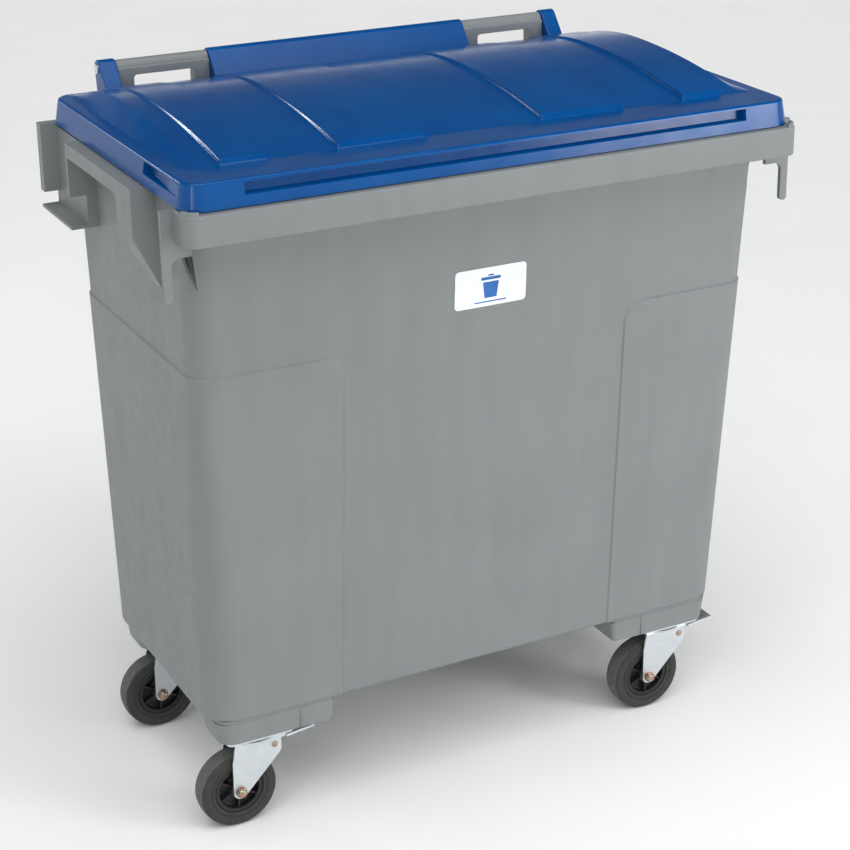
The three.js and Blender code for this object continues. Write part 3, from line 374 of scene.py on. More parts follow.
def soften(mesh, radius, segments=3, angle=30, chosen=None):
    """Rounds the mesh's edges that turn by more than angle, or those that chosen picks."""
    bmesh.ops.remove_doubles(mesh, verts=mesh.verts, dist=0.005)
    bmesh.ops.dissolve_limit(mesh, angle_limit=math.radians(0.5), verts=mesh.verts, edges=mesh.edges)
    limit = math.radians(angle)
    edges = [e for e in mesh.edges if len(e.link_faces) == 2 and e.calc_face_angle(0) > limit
             and (chosen is None or chosen(e))]
    bmesh.ops.bevel(mesh, geom=edges, offset=radius, offset_type="OFFSET", segments=segments, profile=0.5,
                    affect="EDGES", clamp_overlap=True)
    return mesh


def loose_object(mesh, name="scratch"):
    data = bpy.data.meshes.new(name)
    mesh.to_mesh(data)
    mesh.free()
    made = bpy.data.objects.new(name, data)
    bpy.context.scene.collection.objects.link(made)
    return made


def evaluated(source):
    """The object's mesh with its modifiers, as a bmesh; the object goes."""
    bpy.context.view_layer.update()
    graph = bpy.context.evaluated_depsgraph_get()
    mesh = bmesh.new()
    mesh.from_mesh(source.evaluated_get(graph).to_mesh())
    bpy.data.objects.remove(source)
    return mesh


def combine(base, tools, operation):
    """base after UNION, DIFFERENCE or INTERSECT with each tool."""
    target = loose_object(base)
    cutters = [loose_object(tool) for tool in tools]
    for cutter in cutters:
        step = target.modifiers.new("cut", "BOOLEAN")
        step.operation = operation
        step.solver = "MANIFOLD"
        step.object = cutter
    result = evaluated(target)
    for cutter in cutters:
        bpy.data.objects.remove(cutter)
    return result


def joined(*meshes):
    """Several meshes in one, without cutting."""
    result = bmesh.new()
    for mesh in meshes:
        data = bpy.data.meshes.new("part")
        mesh.to_mesh(data)
        mesh.free()
        result.from_mesh(data)
        bpy.data.meshes.remove(data)
    return result


def moved(mesh, offset):
    bmesh.ops.translate(mesh, vec=Vector(offset), verts=mesh.verts)
    return mesh


def mirrored_x(mesh):
    bmesh.ops.scale(mesh, vec=(-1, 1, 1), verts=mesh.verts)
    bmesh.ops.reverse_faces(mesh, faces=mesh.faces)
    return mesh


def place(name, mesh, surface, body, nodes=(), sharp=38):
    """Turns a mesh in mm into a piece that rides on a body and stands for CAD nodes."""
    bmesh.ops.scale(mesh, vec=(MM, MM, MM), verts=mesh.verts)
    bmesh.ops.recalc_face_normals(mesh, faces=mesh.faces)
    piece = loose_object(mesh, name)
    piece.data.materials.append(surface)
    piece.data.shade_smooth()
    piece.data.set_sharp_from_angle(angle=math.radians(sharp))
    weighted = piece.modifiers.new("even_normals", "WEIGHTED_NORMAL")
    weighted.keep_sharp = True
    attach(piece, body)
    if nodes:
        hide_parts(*nodes)
    return piece


# ------------------------------------------------------------------ tub


def wall_at(z, inset, xs, fractions):
    """The wall's outline at a height, moved inwards by inset."""
    t = (z - TUB_BOTTOM) / (RIM_BOTTOM - TUB_BOTTOM)
    size = {key: WALL_BASE[key] + (WALL_TOP[key] - WALL_BASE[key]) * t for key in WALL_BASE}
    return rounded_outline(size["x"] - inset, size["front"] + inset, size["rear"] - inset,
                           size["corner"] - inset, xs, fractions)


def panel_rise(x, z):
    """How far the thickened corner panels stand out at a place on the wall."""
    beside = max(PANEL_CORNER - (abs(x) - PANEL_X), 0)
    above = max(PANEL_CORNER - (PANEL_TOP - z), 0)
    inside = PANEL_CORNER - math.hypot(beside, above)
    return PANEL_STEP * smoothstep(-1.6, 1.6, inside)


def tub_shell():
    """The tub's walls and floor, with fillets at the base and thickened lower corners."""
    near_edge = (-7, -3, -1.5, 0, 1.5, 3, 7, 12, 18, 25, 33, 42, 50)
    half = [0, 60, 120, 180, 240] + [PANEL_X + d for d in near_edge] + [400, 450, 490]
    xs = sorted({-x for x in half} | set(half))
    fractions = [i / 14 for i in range(1, 14)]
    heights = sorted({*range(int(TUB_BOTTOM) + BASE_FILLET, PANEL_TOP - 60, 70),
                      *(PANEL_TOP - d for d in near_edge),
                      1040, 1100, 1160, 1220, SHELL_TOP})

    def outer(z, inset):
        flush = wall_at(z, inset, xs, fractions)
        proud = wall_at(z, inset - PANEL_STEP, xs, fractions)
        rows = []
        for (x0, y0), (x1, y1) in zip(flush, proud):
            t = panel_rise(x0, z) / PANEL_STEP
            rows.append((x0 + (x1 - x0) * t, y0 + (y1 - y0) * t, z))
        return rows

    def inner(z, inset):
        return [(x, y, z) for x, y in wall_at(z, inset, xs, fractions)]

    def fillet(radius):
        turns = (math.radians(15 * i) for i in range(6))
        return [(radius - radius * math.sin(a), radius - radius * math.cos(a)) for a in turns]

    inside = BASE_FILLET - WALL
    rings = [outer(TUB_BOTTOM + rise, inset) for inset, rise in fillet(BASE_FILLET)]
    rings += [outer(z, 0) for z in heights]
    rings += [inner(z, WALL) for z in (SHELL_TOP, 1100, 900, 700, 500, TUB_BOTTOM + WALL + inside)]
    rings += [inner(TUB_BOTTOM + WALL + rise, WALL + inset) for inset, rise in reversed(fillet(inside))]
    return skin(rings)


def rim():
    """The rim: a flange turned out from the wall and down into a band, set in along the sides."""
    xs = [x * 50 for x in range(-11, 12)]
    fractions = [i / 12 for i in range(1, 12)]

    def outer(inset, z):
        return [(x, y, z) for x, y in rounded_outline(RIM_X - inset, FRONT_Y + inset, RIM_REAR_Y - inset,
                                                      24 - inset, xs, fractions)]

    def inner(inset, z):
        return [(x, y, z) for x, y in wall_at(RIM_BOTTOM, inset, xs, fractions)]

    top, low = RIM_TOP, RIM_BOTTOM
    rings = [outer(0, low + 2.5), outer(0, top - 4), outer(0.6, top - 1.8), outer(1.8, top - 0.6),
             outer(4, top),
             inner(WALL - 4, top), inner(WALL - 1.2, top - 1.2), inner(WALL, top - 4), inner(WALL, top - 30),
             inner(2, top - 30), inner(-1, top - FLANGE - 3), inner(-2.5, top - FLANGE - 1),
             inner(-4, top - FLANGE), outer(WALL + 3, top - FLANGE), outer(WALL, top - FLANGE - 3),
             outer(WALL, low + 1.5), outer(3.5, low),
             outer(1.5, low)]
    wall, side = WALL_TOP["x"] - 1, WALL_TOP["x"] + FLANGE
    length = (FRONT_Y + 70, RIM_REAR_Y - 22)
    cuts = [block(x, length, (low - 5, top + 5)) for x in ((-RIM_X - 5, -side), (side, RIM_X + 5))]
    bands = [block(x, length, (low, top - 0.4)) for x in ((-side, -wall), (wall, side))]
    return combine(combine(skin(rings, closed=True), cuts, "DIFFERENCE"), bands, "UNION")


def corner_lug(side):
    """The small raised ridge on a front corner of the rim."""
    def ring(outside, inside, z):
        cx, cy = -RIM_X + RIM_CORNER, FRONT_Y + RIM_CORNER
        return [(x, y, z) for x, y in arc_points(cx, cy, RIM_CORNER - outside, 186, 264, 10)
                + arc_points(cx, cy, RIM_CORNER - inside, 264, 186, 10)]
    mesh = skin([ring(0.8, 8, RIM_TOP - 2), ring(0.8, 8, RIM_TOP + 4.5), ring(2.2, 6.6, RIM_TOP + 6.5)])
    return mesh if side < 0 else mirrored_x(mesh)


def side_grip(side):
    """A lifting grip on the tub's left side, mirrored for the right: flange, lip, leg, hooked web and post."""
    inner = -(WALL_TOP["x"] - 2)
    outer = -GRIP_X
    front, rear = FRONT_Y + 210, FRONT_Y + 568
    web = (FRONT_Y + 62, FRONT_Y + 71)
    drop = lambda amount: RIM_TOP - amount
    hook = [(inner, drop(0.5)), (outer, drop(0.5)), (outer, drop(160))]
    hook += arc_points(outer + 8, drop(159), 8, 180, 360, 8)
    hook += arc_points(outer + 32, drop(104), 16, 180, 90, 6) + [(inner, drop(88))]

    def leg_outline(inset):
        return [(inner, drop(inset + 1)), (outer + inset, drop(inset + 1)), (outer + inset, drop(91)),
                (-WALL_TOP["x"] + inset, drop(196)), (inner, drop(196))]

    leg = combine(prism(leg_outline(0), front, front + 78, "Y"),
                  [prism(leg_outline(FLANGE), front + FLANGE, front + 79, "Y")], "DIFFERENCE")
    shelf = (drop(171), drop(165))
    parts = [block((outer, inner), (front, rear), (drop(FLANGE), drop(0.2))),
             block((outer, outer + FLANGE), (front, rear), (drop(28), drop(0.2))),
             prism(hook, web[0], web[1], "Y"),
             block((outer, inner), (rear - 8, rear), (drop(106), drop(0.2))),
             block((outer, inner), (rear - 8, RIM_REAR_Y - 2), shelf),
             block((outer, inner), (RIM_REAR_Y - 23, RIM_REAR_Y), (drop(136), drop(0.2))),
             block((inner - 21, inner), (rear - 8, RIM_REAR_Y - 2), (shelf[0], drop(FLANGE)))]
    mesh = soften(combine(leg, parts, "UNION"), 2.2, 3)
    return mesh if side < 0 else mirrored_x(mesh)


def rear_handle(side):
    """A round bar over a windowed plate; it also carries one end of the lid's hinge."""
    x0, x1 = HANDLE_INNER_X + 0.3, HANDLE_OUTER_X - 0.3
    rear = HINGE_Y + 6.5
    window_top = HINGE_Z - 16
    bar = turned([(0, x0), (HANDLE_BAR - 1.5, x0), (HANDLE_BAR, x0 + 1.5), (HANDLE_BAR, x1 - 1.5),
                  (HANDLE_BAR - 1.5, x1), (0, x1)], "X", 40, (0, HINGE_Y, HINGE_Z))
    plate = soften(block((x0, x1), (rear - 26, rear), (RIM_TOP - 18, HINGE_Z)), 2)
    post = 33
    window = [(x, z) for x, z in rounded_outline((x1 - x0) / 2 - post, window_top - 46, window_top, 7, arc=5)]
    opening = moved(prism(window, rear - 60, rear + 40, "Y"), ((x0 + x1) / 2, 0, 0))
    mesh = combine(combine(plate, [bar], "UNION"), [opening], "DIFFERENCE")
    edge = (window_top - 46.5, window_top + 0.5)

    def at_window(e):
        return all(edge[0] < v.co.z < edge[1] and x0 + post - 1 < v.co.x < x1 - post + 1 for v in e.verts)

    mesh = soften(mesh, 1.6, 3, 60, at_window)
    return mesh if side > 0 else mirrored_x(mesh)


def foot(name, inset, bottom, top):
    """The tapered box under a corner that takes a castor; inset gives its hollow."""
    low, high = cad_box(f"{name}_top_plate")
    side = 1 if high.x > 0 else -1
    x0, x1 = 318 + inset, 562 - inset
    cx, half_x = side * (x0 + x1) / 2, (x1 - x0) / 2
    cy, half_y = (low.y + high.y) / 2, 58 - inset

    def ring(z, shrink):
        taper = 6 * (TUB_BOTTOM - z) / 50 + shrink
        x, y = half_x - taper, half_y - taper / 2
        corners = ((x - FOOT_CORNER, FOOT_CORNER, -90), (FOOT_INNER_CORNER - x, FOOT_INNER_CORNER, 90))
        points = []
        for middle, radius, start in corners:
            points += arc_points(middle, math.copysign(y - radius, start), radius, start, start + 90, 8)
            points += arc_points(middle, math.copysign(y - radius, -start), radius, start + 90, start + 180, 8)
        return [(cx + side * u, cy + v, z) for u, v in points]
    if inset:
        return skin([ring(bottom, 2), ring(bottom + 4, 0), ring(top, 0)])
    return skin([ring(bottom, 3), ring(bottom + 0.9, 0.9), ring(bottom + 3, 0), ring(TUB_BOTTOM - 5, 0),
                 ring(TUB_BOTTOM - 4, 2.2), ring(TUB_BOTTOM - 1.5, 2.2), ring(TUB_BOTTOM, 0), ring(top, 0)])


def foot_rib(name):
    """The thin upright rib on a front foot's face."""
    low, high = cad_box(f"{name}_top_plate")
    side = 1 if high.x > 0 else -1
    y = (low.y + high.y) / 2 - 58
    mesh = block((side * 392 - 1.5, side * 392 + 1.5), (y - 0.5, y + 6), (FOOT_BOTTOM + 2, TUB_BOTTOM - 4))
    return soften(mesh, 0.6, 2)


def corner_pocket(side):
    """The housing inside a front corner, and the three-cornered pocket that is cut into it under the rim."""
    housing = prism([(-588, -260), (-582, -281), (-570, -290), (-545, -286), (-545, -260)], 1142, 1228, "Z")
    pocket = prism([(-288, 1148), (-288, 1220), (-264, 1220)], -640, -552, "X")
    return [mesh if side < 0 else mirrored_x(mesh) for mesh in (housing, pocket)]


def build_tub():
    """The one-piece tub, drawn as the walls, the rim, the grips and the handles that the mould joins."""
    feet = [foot(name, 0, FOOT_BOTTOM, TUB_BOTTOM + WALL - 0.5) for name in CASTORS]
    housings, cuts = zip(corner_pocket(-1), corner_pocket(1))
    shell = combine(tub_shell(), feet + list(housings), "UNION")
    pockets = list(cuts) + [foot(name, WALL, FOOT_BOTTOM + 14, TUB_BOTTOM + WALL + 1) for name in CASTORS]
    drain = turned([(0, TUB_BOTTOM - 2), (25.4, TUB_BOTTOM - 2), (25.4, TUB_BOTTOM + 8), (0, TUB_BOTTOM + 8)],
                   "Z", 48)
    shell = combine(shell, pockets + [drain], "DIFFERENCE")
    place("tub_shell", shell, GREY, "tub", ["tub"], sharp=30)
    place("tub_rim", rim(), GREY, "tub", ["tub"], sharp=50)
    for side, word in ((-1, "left"), (1, "right")):
        place(f"tub_side_grip_{word}", side_grip(side), GREY, "tub", ["tub"])
        place(f"tub_rear_handle_{word}", rear_handle(side), GREY, "tub", ["tub"])
        place(f"tub_rim_lug_{word}", corner_lug(side), GREY, "tub", ["tub"])
    for name in CASTORS[:2]:
        place(f"tub_foot_rib_{name}", foot_rib(name), GREY, "tub", ["tub"])


# ------------------------------------------------------------------ lid


def band_rise(x, y):
    """How far the raised bands stand out; they are boldest at the front."""
    at = abs(x)
    fade = BAND_FRONT_RISE + (BAND_REAR_RISE - BAND_FRONT_RISE) * smoothstep(DOME_FRONT, DOME_REAR, y)
    shape = sum(smoothstep(low, low + BAND_EDGE, at) - smoothstep(high - BAND_EDGE, high, at)
                for low, high in BANDS)
    ends = smoothstep(DOME_FRONT, DOME_FRONT + 7, y) * (1 - smoothstep(DOME_REAR - 20, DOME_REAR, y))
    return fade * shape * ends


def lid_height(x, y):
    """The lid's top: a flat ledge at the front, then a dome that slopes off at the sides."""
    reach = DOME_PEAK_Y - DOME_FRONT if y < DOME_PEAK_Y else DOME_REAR - DOME_PEAK_Y
    crown = DOME_RISE * max(1 - ((y - DOME_PEAK_Y) / reach) ** 2, 0) if DOME_FRONT < y < DOME_REAR else 0
    side = min(max((SLOPE_FOOT_X - abs(x)) / (SLOPE_FOOT_X - DOME_X), 0), 1)
    return LEDGE_Z + crown * side + band_rise(x, y)


def to_round(x, y, half_x, front, rear, radius):
    """Moves a point of a rectangle into the same rectangle with round corners."""
    cx = math.copysign(half_x - radius, x)
    cy = front + radius if y < front + radius else rear - radius
    if abs(x) <= half_x - radius or front + radius <= y <= rear - radius:
        return x, y
    a, b = (x - cx) / radius, (y - cy) / radius
    return cx + radius * a * math.sqrt(1 - b * b / 2), cy + radius * b * math.sqrt(1 - a * a / 2)


def lid_shell():
    """The lid's top and skirt as one skin, with the front grip channel and the side hand recesses."""
    edge_x = LID_X - SKIRT_DRAFT - LID_EDGE
    edge_front = LID_FRONT + SKIRT_DRAFT + LID_EDGE
    edge_rear = LID_REAR - LID_EDGE
    radius = LID_CORNER - LID_EDGE
    half = [0, 40, 80, 150, 200, 250, 340, 380, 460, 490, CHANNEL_X - 3, CHANNEL_X, 540, DOME_X - 2, DOME_X,
            (DOME_X + SLOPE_FOOT_X) / 2, SLOPE_FOOT_X, SLOPE_FOOT_X + 2, 604, edge_x]
    for low, high in BANDS:
        half += [low - 1, *(low + BAND_EDGE * i / 4 for i in range(5)), low + BAND_EDGE + 1,
                 high - BAND_EDGE - 1, *(high - BAND_EDGE * i / 4 for i in range(5)), high + 1]
    half += [edge_x - radius * (1 - math.sin(math.radians(15 * i))) for i in range(6)]
    half = sorted(set(half))
    xs = [-x for x in reversed(half[1:])] + half
    recess = (-330, -165)
    ys = sorted({edge_front + radius * (1 - math.cos(math.radians(15 * i))) for i in range(7)}
                | {edge_rear - radius * (1 - math.cos(math.radians(15 * i))) for i in range(7)}
                | {DOME_FRONT - 1, *(DOME_FRONT + d for d in (0, 1.5, 3, 4.5, 6, 7.5, 12)), DOME_REAR,
                   DOME_REAR - 10,
                   DOME_REAR - 20} | {recess[1], recess[1] + 2, recess[0]} | set(range(-250, 300, 22)))
    mesh = bmesh.new()
    grid = []
    for y in ys:
        row = []
        for x in xs:
            px, py = to_round(x, y, edge_x, edge_front, edge_rear, radius)
            row.append(mesh.verts.new((px, py, lid_height(px, py))))
        grid.append(row)
    for low_row, high_row in zip(grid, grid[1:]):
        for i in range(len(xs) - 1):
            mesh.faces.new((low_row[i], low_row[i + 1], high_row[i + 1], high_row[i]))
    loop = grid[0][:-1] + [row[-1] for row in grid[:-1]] + grid[-1][:0:-1] + [row[0] for row in grid[:0:-1]]

    def outward(vert):
        x, y = vert.co.x, vert.co.y
        cx = min(max(x, radius - edge_x), edge_x - radius)
        cy = min(max(y, edge_front + radius), edge_rear - radius)
        return Vector((x - cx, y - cy, 0)).normalized()

    def slot_depth(vert):
        x, y = vert.co.x, vert.co.y
        if y < edge_front + 1:
            return CHANNEL_DEPTH * (1 - smoothstep(CHANNEL_X - 3, CHANNEL_X, abs(x)))
        if abs(x) > edge_x - 1 and recess[0] < y < recess[1] + 1:
            return 13 * smoothstep(recess[0], recess[1], y) ** 0.8
        return 0.0

    levels = [(LID_EDGE * math.sin(math.radians(a)), LID_EDGE * (1 - math.cos(math.radians(a))), 0)
              for a in (18, 36, 54, 72, 90)]
    skirt = LEDGE_Z - LID_BOTTOM
    for drop, share in ((6.4, 0), (7.4, 0.8), (8.2, 1), (27, 1), (27.8, 0.8), (28.8, 0), (32, 0), (40, 0),
                        (skirt - 1.5, 0), (skirt, -0.05)):
        levels.append((LID_EDGE + SKIRT_DRAFT * (drop - LID_EDGE) / (skirt - LID_EDGE), drop, share))
    frames = [(vert, outward(vert), slot_depth(vert), vert.co.z) for vert in loop]
    before = loop
    for out, drop, share in levels:
        ring = [mesh.verts.new((vert.co.x + way.x * (out - depth * max(share, 0)),
                                vert.co.y + way.y * (out - depth * max(share, 0)), z - drop))
                for vert, way, depth, z in frames]
        for i in range(len(ring)):
            j = (i + 1) % len(ring)
            mesh.faces.new((before[j], before[i], ring[i], ring[j]))
        before = ring
    bmesh.ops.recalc_face_normals(mesh, faces=mesh.faces)
    return mesh


def hinge_outline():
    """The raised hinge wall from the side: a sloping front, the barrel round the axis and an upright back."""
    barrel = [(HINGE_Y + BARREL_RADIUS * math.cos(math.radians(a)),
               HINGE_Z + BARREL_RADIUS * math.sin(math.radians(a)))
              for a in range(150, -31, -10)]
    return [(HINGE_Y - 56, LEDGE_Z - 6), *barrel, (HINGE_Y + 8, LID_BOTTOM + 12),
            (LID_REAR - 4, LID_BOTTOM + 12)]


def build_lid():
    """The domed lid with its hinge wall and end ears."""
    sheet = loose_object(lid_shell())
    thick = sheet.modifiers.new("skin", "SOLIDIFY")
    thick.thickness = LID_SKIN
    thick.offset = -1
    thick.use_even_offset = True
    place("lid_shell", evaluated(sheet), BLUE, "lid", ["lid"], sharp=26)
    middle, ear = HANDLE_INNER_X - 0.3, HANDLE_OUTER_X + 0.3
    wall = prism(hinge_outline(), -middle, middle, "X")
    hollow = [(LID_REAR, LID_BOTTOM), (HINGE_Y + 3, LID_BOTTOM), (HINGE_Y + 3, HINGE_Z - 26),
              (HINGE_Y - 18, HINGE_Z - 26), (LID_REAR, LEDGE_Z - 10)]
    wall = combine(wall, [prism(hollow, 40 - middle, middle - 40, "X")], "DIFFERENCE")
    place("lid_hinge_wall", soften(wall, 2.4, 3, 34), BLUE, "lid", ["lid"])
    for side, word in ((-1, "left"), (1, "right")):
        lug = soften(prism(hinge_outline(), ear, ear + 35, "X"), 2.4, 3, 34)
        place(f"lid_ear_{word}", lug if side > 0 else mirrored_x(lug), BLUE, "lid", ["lid"])
        inner, outer = HANDLE_INNER_X - 32, ear + 35.3
        pin = turned([(0, inner), (4.8, inner), (6, inner + 1.2), (6, outer), (10, outer), (10, outer + 2),
                      (9, outer + 3), (0, outer + 3)], "X", 32, (0, HINGE_Y, HINGE_Z))
        place(f"hinge_pin_{word}_rod", pin if side > 0 else mirrored_x(pin), ZINC, "tub", [f"hinge_pin_{word}"])


# ------------------------------------------------------------------ label and drain


def build_label():
    """A printed film label with a generic picture of a bin, lying on the leaning front wall."""
    low, high = cad_box("label_plate")
    lean = math.atan2(WALL_BASE["front"] - WALL_TOP["front"], RIM_BOTTOM - TUB_BOTTOM)
    centre = Vector((0, (low.y + high.y) / 2, (low.z + high.z) / 2))
    turn = Matrix.Translation(centre) @ Matrix.Rotation(math.pi / 2 + lean, 4, "X")

    def laid(mesh):
        bmesh.ops.transform(mesh, matrix=turn, verts=mesh.verts)
        return mesh

    half_x, half_z = (high.x - low.x) / 2, (high.z - low.z) / 2 - 0.1
    film = prism(rounded_outline(half_x, -half_z, half_z, 8), -0.3, 0.3, "Z")
    place("label_film", laid(soften(film, 0.15, 2, 60)), FILM, "tub", ["label_plate"])
    layer = (0.25, 0.42)
    can = [(-13, -22), (13, -22), (17, 10), (-17, 10)]
    bar = rounded_outline(21, 14, 20, 2.5, arc=4)
    knob = rounded_outline(6, 21.5, 25, 1.5, arc=4)
    rule = rounded_outline(34, -31, -28.5, 1.1, arc=3)
    drawn = joined(*(prism(outline, layer[0], layer[1], "Z") for outline in (can, bar, knob, rule)))
    place("label_picture", laid(drawn), INK, "tub")


def build_drain():
    """The screw-in drain plug and its flat seal, under the middle of the floor."""
    low, high = cad_box("drain_plug")
    top = TUB_BOTTOM - 3.1
    plug = turned([(0, top - 6), (31, top - 6), (34, top - 4), (34, top), (25, top), (25, high.z - 1),
                   (24, high.z),
                   (0, high.z)], "Z", 64)
    grip = soften(block((-25, 25), (-4, 4), (low.z, top - 4)), 1.5, 3)
    place("drain_plug_turned", combine(plug, [grip], "UNION"), BLACK, "drain_plug", ["drain_plug"])
    seal = turned([(26, top + 0.3), (33, top + 0.3), (33, TUB_BOTTOM - 0.3), (26, TUB_BOTTOM - 0.3)], "Z", 64)
    place("drain_seal_ring", soften(seal, 0.5, 2), RUBBER, "tub", ["drain_seal"])


# ------------------------------------------------------------------ castors

TRAIL = 40
AXLE_Z = 80
PLATE_TOP = 202.7
PLATE_BOTTOM = 198.7
CROWN_TOP = 188.1
SHEET = 4
FORK_HALF = 29.5
PEDAL_PIVOT = (34, 166)


def hexagon(radius, low, high, chamfer, axis, centre=(0, 0, 0)):
    """A hexagon head with its corners turned off at both ends."""
    blank = prism([(radius * math.cos(math.radians(60 * i)), radius * math.sin(math.radians(60 * i)))
                   for i in range(6)], low, high, axis)
    turned_off = turned([(0, low - 0.01), (radius - chamfer * 1.7, low - 0.01), (radius, low + chamfer),
                         (radius, high - chamfer), (radius - chamfer * 1.7, high + 0.01), (0, high + 0.01)],
                        axis, 48)
    return moved(combine(blank, [turned_off], "INTERSECT"), centre)


def fork_mesh(braked):
    """A pressed fork: a bent U of sheet with tapered legs, a round crown and a rounded eye round the axle."""
    bend = 9
    outer = [(-FORK_HALF, AXLE_Z - 20)] + arc_points(bend - FORK_HALF, CROWN_TOP - bend, bend, 180, 90, 6)
    outer += arc_points(FORK_HALF - bend, CROWN_TOP - bend, bend, 90, 0, 6) + [(FORK_HALF, AXLE_Z - 20)]
    gap, inside = FORK_HALF - SHEET, bend - SHEET
    inner = [(gap, AXLE_Z - 20)] + arc_points(gap - inside, CROWN_TOP - SHEET - inside, inside, 0, 90, 5)
    inner += arc_points(inside - gap, CROWN_TOP - SHEET - inside, inside, 90, 180, 5) + [(-gap, AXLE_Z - 20)]
    sheet = prism(outer + inner, -60, 60, "X")
    eye = arc_points(-TRAIL, AXLE_Z, 15, 180, 328, 16)
    side = eye + [(44, CROWN_TOP - 42)] + arc_points(41, CROWN_TOP - 33, 7, -25, 0, 3)
    side += [(48, CROWN_TOP + 1), (-46, CROWN_TOP + 1)] + arc_points(-47, CROWN_TOP - 42, 8, 150, 180, 3)
    legs = combine(sheet, [prism(side, -40, 40, "Y")], "INTERSECT")
    crown = turned([(7.3, CROWN_TOP - SHEET), (41.5, CROWN_TOP - SHEET), (43, CROWN_TOP - 2.5),
                    (43, CROWN_TOP - 1.2),
                    (41.8, CROWN_TOP), (7.3, CROWN_TOP)], "Z", 64)
    cuts = [turned([(0, -40), (6.3, -40), (6.3, 40), (0, 40)], "Y", 32, (-TRAIL, 0, AXLE_Z)),
            turned([(0, 150), (7.3, 150), (7.3, 200), (0, 200)], "Z", 32)]
    if braked:
        pin_hole = [(0, -40), (4.3, -40), (4.3, 40), (0, 40)]
        cuts.append(turned(pin_hole, "Y", 24, (PEDAL_PIVOT[0], 0, PEDAL_PIVOT[1])))
    return soften(combine(combine(legs, [crown], "UNION"), cuts, "DIFFERENCE"), 0.7, 2, 40)


def tyre_mesh():
    """A solid tyre: crowned tread, short shoulders and a ring groove in each side."""
    half = 22
    side = [(50, -half + 3), (51, -half + 1), (53, -half), (56, -half), (57, -half + 1.6), (58.5, -half + 2),
            (60, -half + 1.6), (61, -half), (66, -half), (71, -half), (74, -half + 0.6), (76.2, -half + 1.8),
            (77.6, -half + 3.6), (78.6, -half + 6), (79.4, -half + 12), (80, -3)]
    return turned(side + [(r, -h) for r, h in reversed(side)], "Y", 96)


def wheel_centre_mesh():
    """A moulded wheel centre: rim, thin web, ribs on both faces and a long hub."""
    body = turned([(6.4, -24), (16, -24), (18, -22.5), (18.5, -5), (21, -3), (38, -3), (40.7, -5), (40.7, -17),
                   (42, -19), (48.5, -19), (49.7, -18), (49.7, 18), (48.5, 19), (42, 19), (40.7, 17), (40.7, 5),
                   (38, 3), (21, 3), (18.5, 5), (18, 22.5), (16, 24), (6.4, 24)], "Y", 96)
    ribs = []
    for i in range(6):
        rib = soften(block((14, 43), (-15, 15), (-2, 2)), 0.6, 2)
        bmesh.ops.rotate(rib, cent=(0, 0, 0), matrix=Matrix.Rotation(math.radians(60 * i + 30), 3, "Y"),
                         verts=rib.verts)
        ribs.append(rib)
    return joined(body, *ribs)


def pedal_mesh():
    """A brake pedal of bent sheet: ridged tread, rolled eye and a shoe above the tyre."""
    x, z = PEDAL_PIVOT
    outline = [(21, 142), (31, 139), (x + 3, z - 4), (x + 16, z + 2), (122, 177), (124, 179), (122.5, 181.5),
               (x + 14, z + 8), *arc_points(x, z, 9, 75, 150, 5), (x - 9, z + 2)]
    body = prism(outline, -21, 21, "Y")
    waist = [block((x + 12, x + 30), (15, 30), (150, 190)), block((x + 12, x + 30), (-30, -15), (150, 190))]
    body = combine(body, waist, "DIFFERENCE")
    eye = turned([(4.3, -21), (9, -21), (9, 21), (4.3, 21)], "Y", 32, (x, 0, z))
    bore = turned([(0, -30), (4.3, -30), (4.3, 30), (0, 30)], "Y", 32, (x, 0, z))
    body = soften(combine(combine(body, [eye], "UNION"), [bore], "DIFFERENCE"), 1.1, 3, 40)
    lean = math.atan2(181.5 - (z + 8), 122.5 - (x + 14))
    ridges = []
    for i in range(5):
        at = 86 + 7.5 * i
        top = z + 8 + (at - x - 14) * math.tan(lean)
        ridges.append(soften(block((at - 1.5, at + 1.5), (-17, 17), (top - 1, top + 0.9)), 0.6, 2))
    return joined(body, *ridges)


def raceway_mesh():
    """The ball race between plate and fork: a dished lower ring under a dark sealed gap."""
    low, high = CROWN_TOP + 0.3, PLATE_BOTTOM - 0.3
    return turned([(7.3, low), (38.5, low), (39.7, low + 0.6), (40, low + 1.6), (39, low + 2.3),
                   (36.5, low + 2.6),
                   (36.5, high - 1.4), (39, high - 1.2), (39.6, high - 0.6), (39, high), (7.3, high)], "Z", 64)


def plate_mesh():
    """A pressed top plate with round corners and a bore in the middle."""
    plate = prism(rounded_outline(70, -52, 52, 12, arc=6), PLATE_BOTTOM, PLATE_TOP, "Z")
    bore = turned([(0, 190), (7.3, 190), (7.3, 210), (0, 210)], "Z", 32)
    return soften(combine(plate, [bore], "DIFFERENCE"), 0.8, 2, 40)


def kingpin_mesh():
    low, high = CROWN_TOP - SHEET - 6.3, CROWN_TOP - SHEET - 0.3
    pin = turned([(0, low), (7, low), (7, PLATE_TOP - 0.6), (6.4, PLATE_TOP - 0.3),
                  (0, PLATE_TOP - 0.3)], "Z", 32)
    return combine(hexagon(12, low, high, 1.2, "Z"), [pin], "UNION")


def axle_bolt_mesh():
    """The axle bolt: a washered hexagon head behind the wheel, its thread ending inside the cap nut."""
    seat = FORK_HALF + 0.3
    shank = turned([(0, -seat - 7), (5, -seat - 7), (6, -seat - 6), (6, seat + 1), (0, seat + 1)], "Y", 32)
    washer = turned([(5.5, seat), (11.5, seat), (11.5, seat + 0.9), (11, seat + 1.3), (5.5, seat + 1.3)],
                    "Y", 40)
    return combine(hexagon(11, seat + 1.2, seat + 7, 1.2, "Y"), [washer, shank], "UNION")


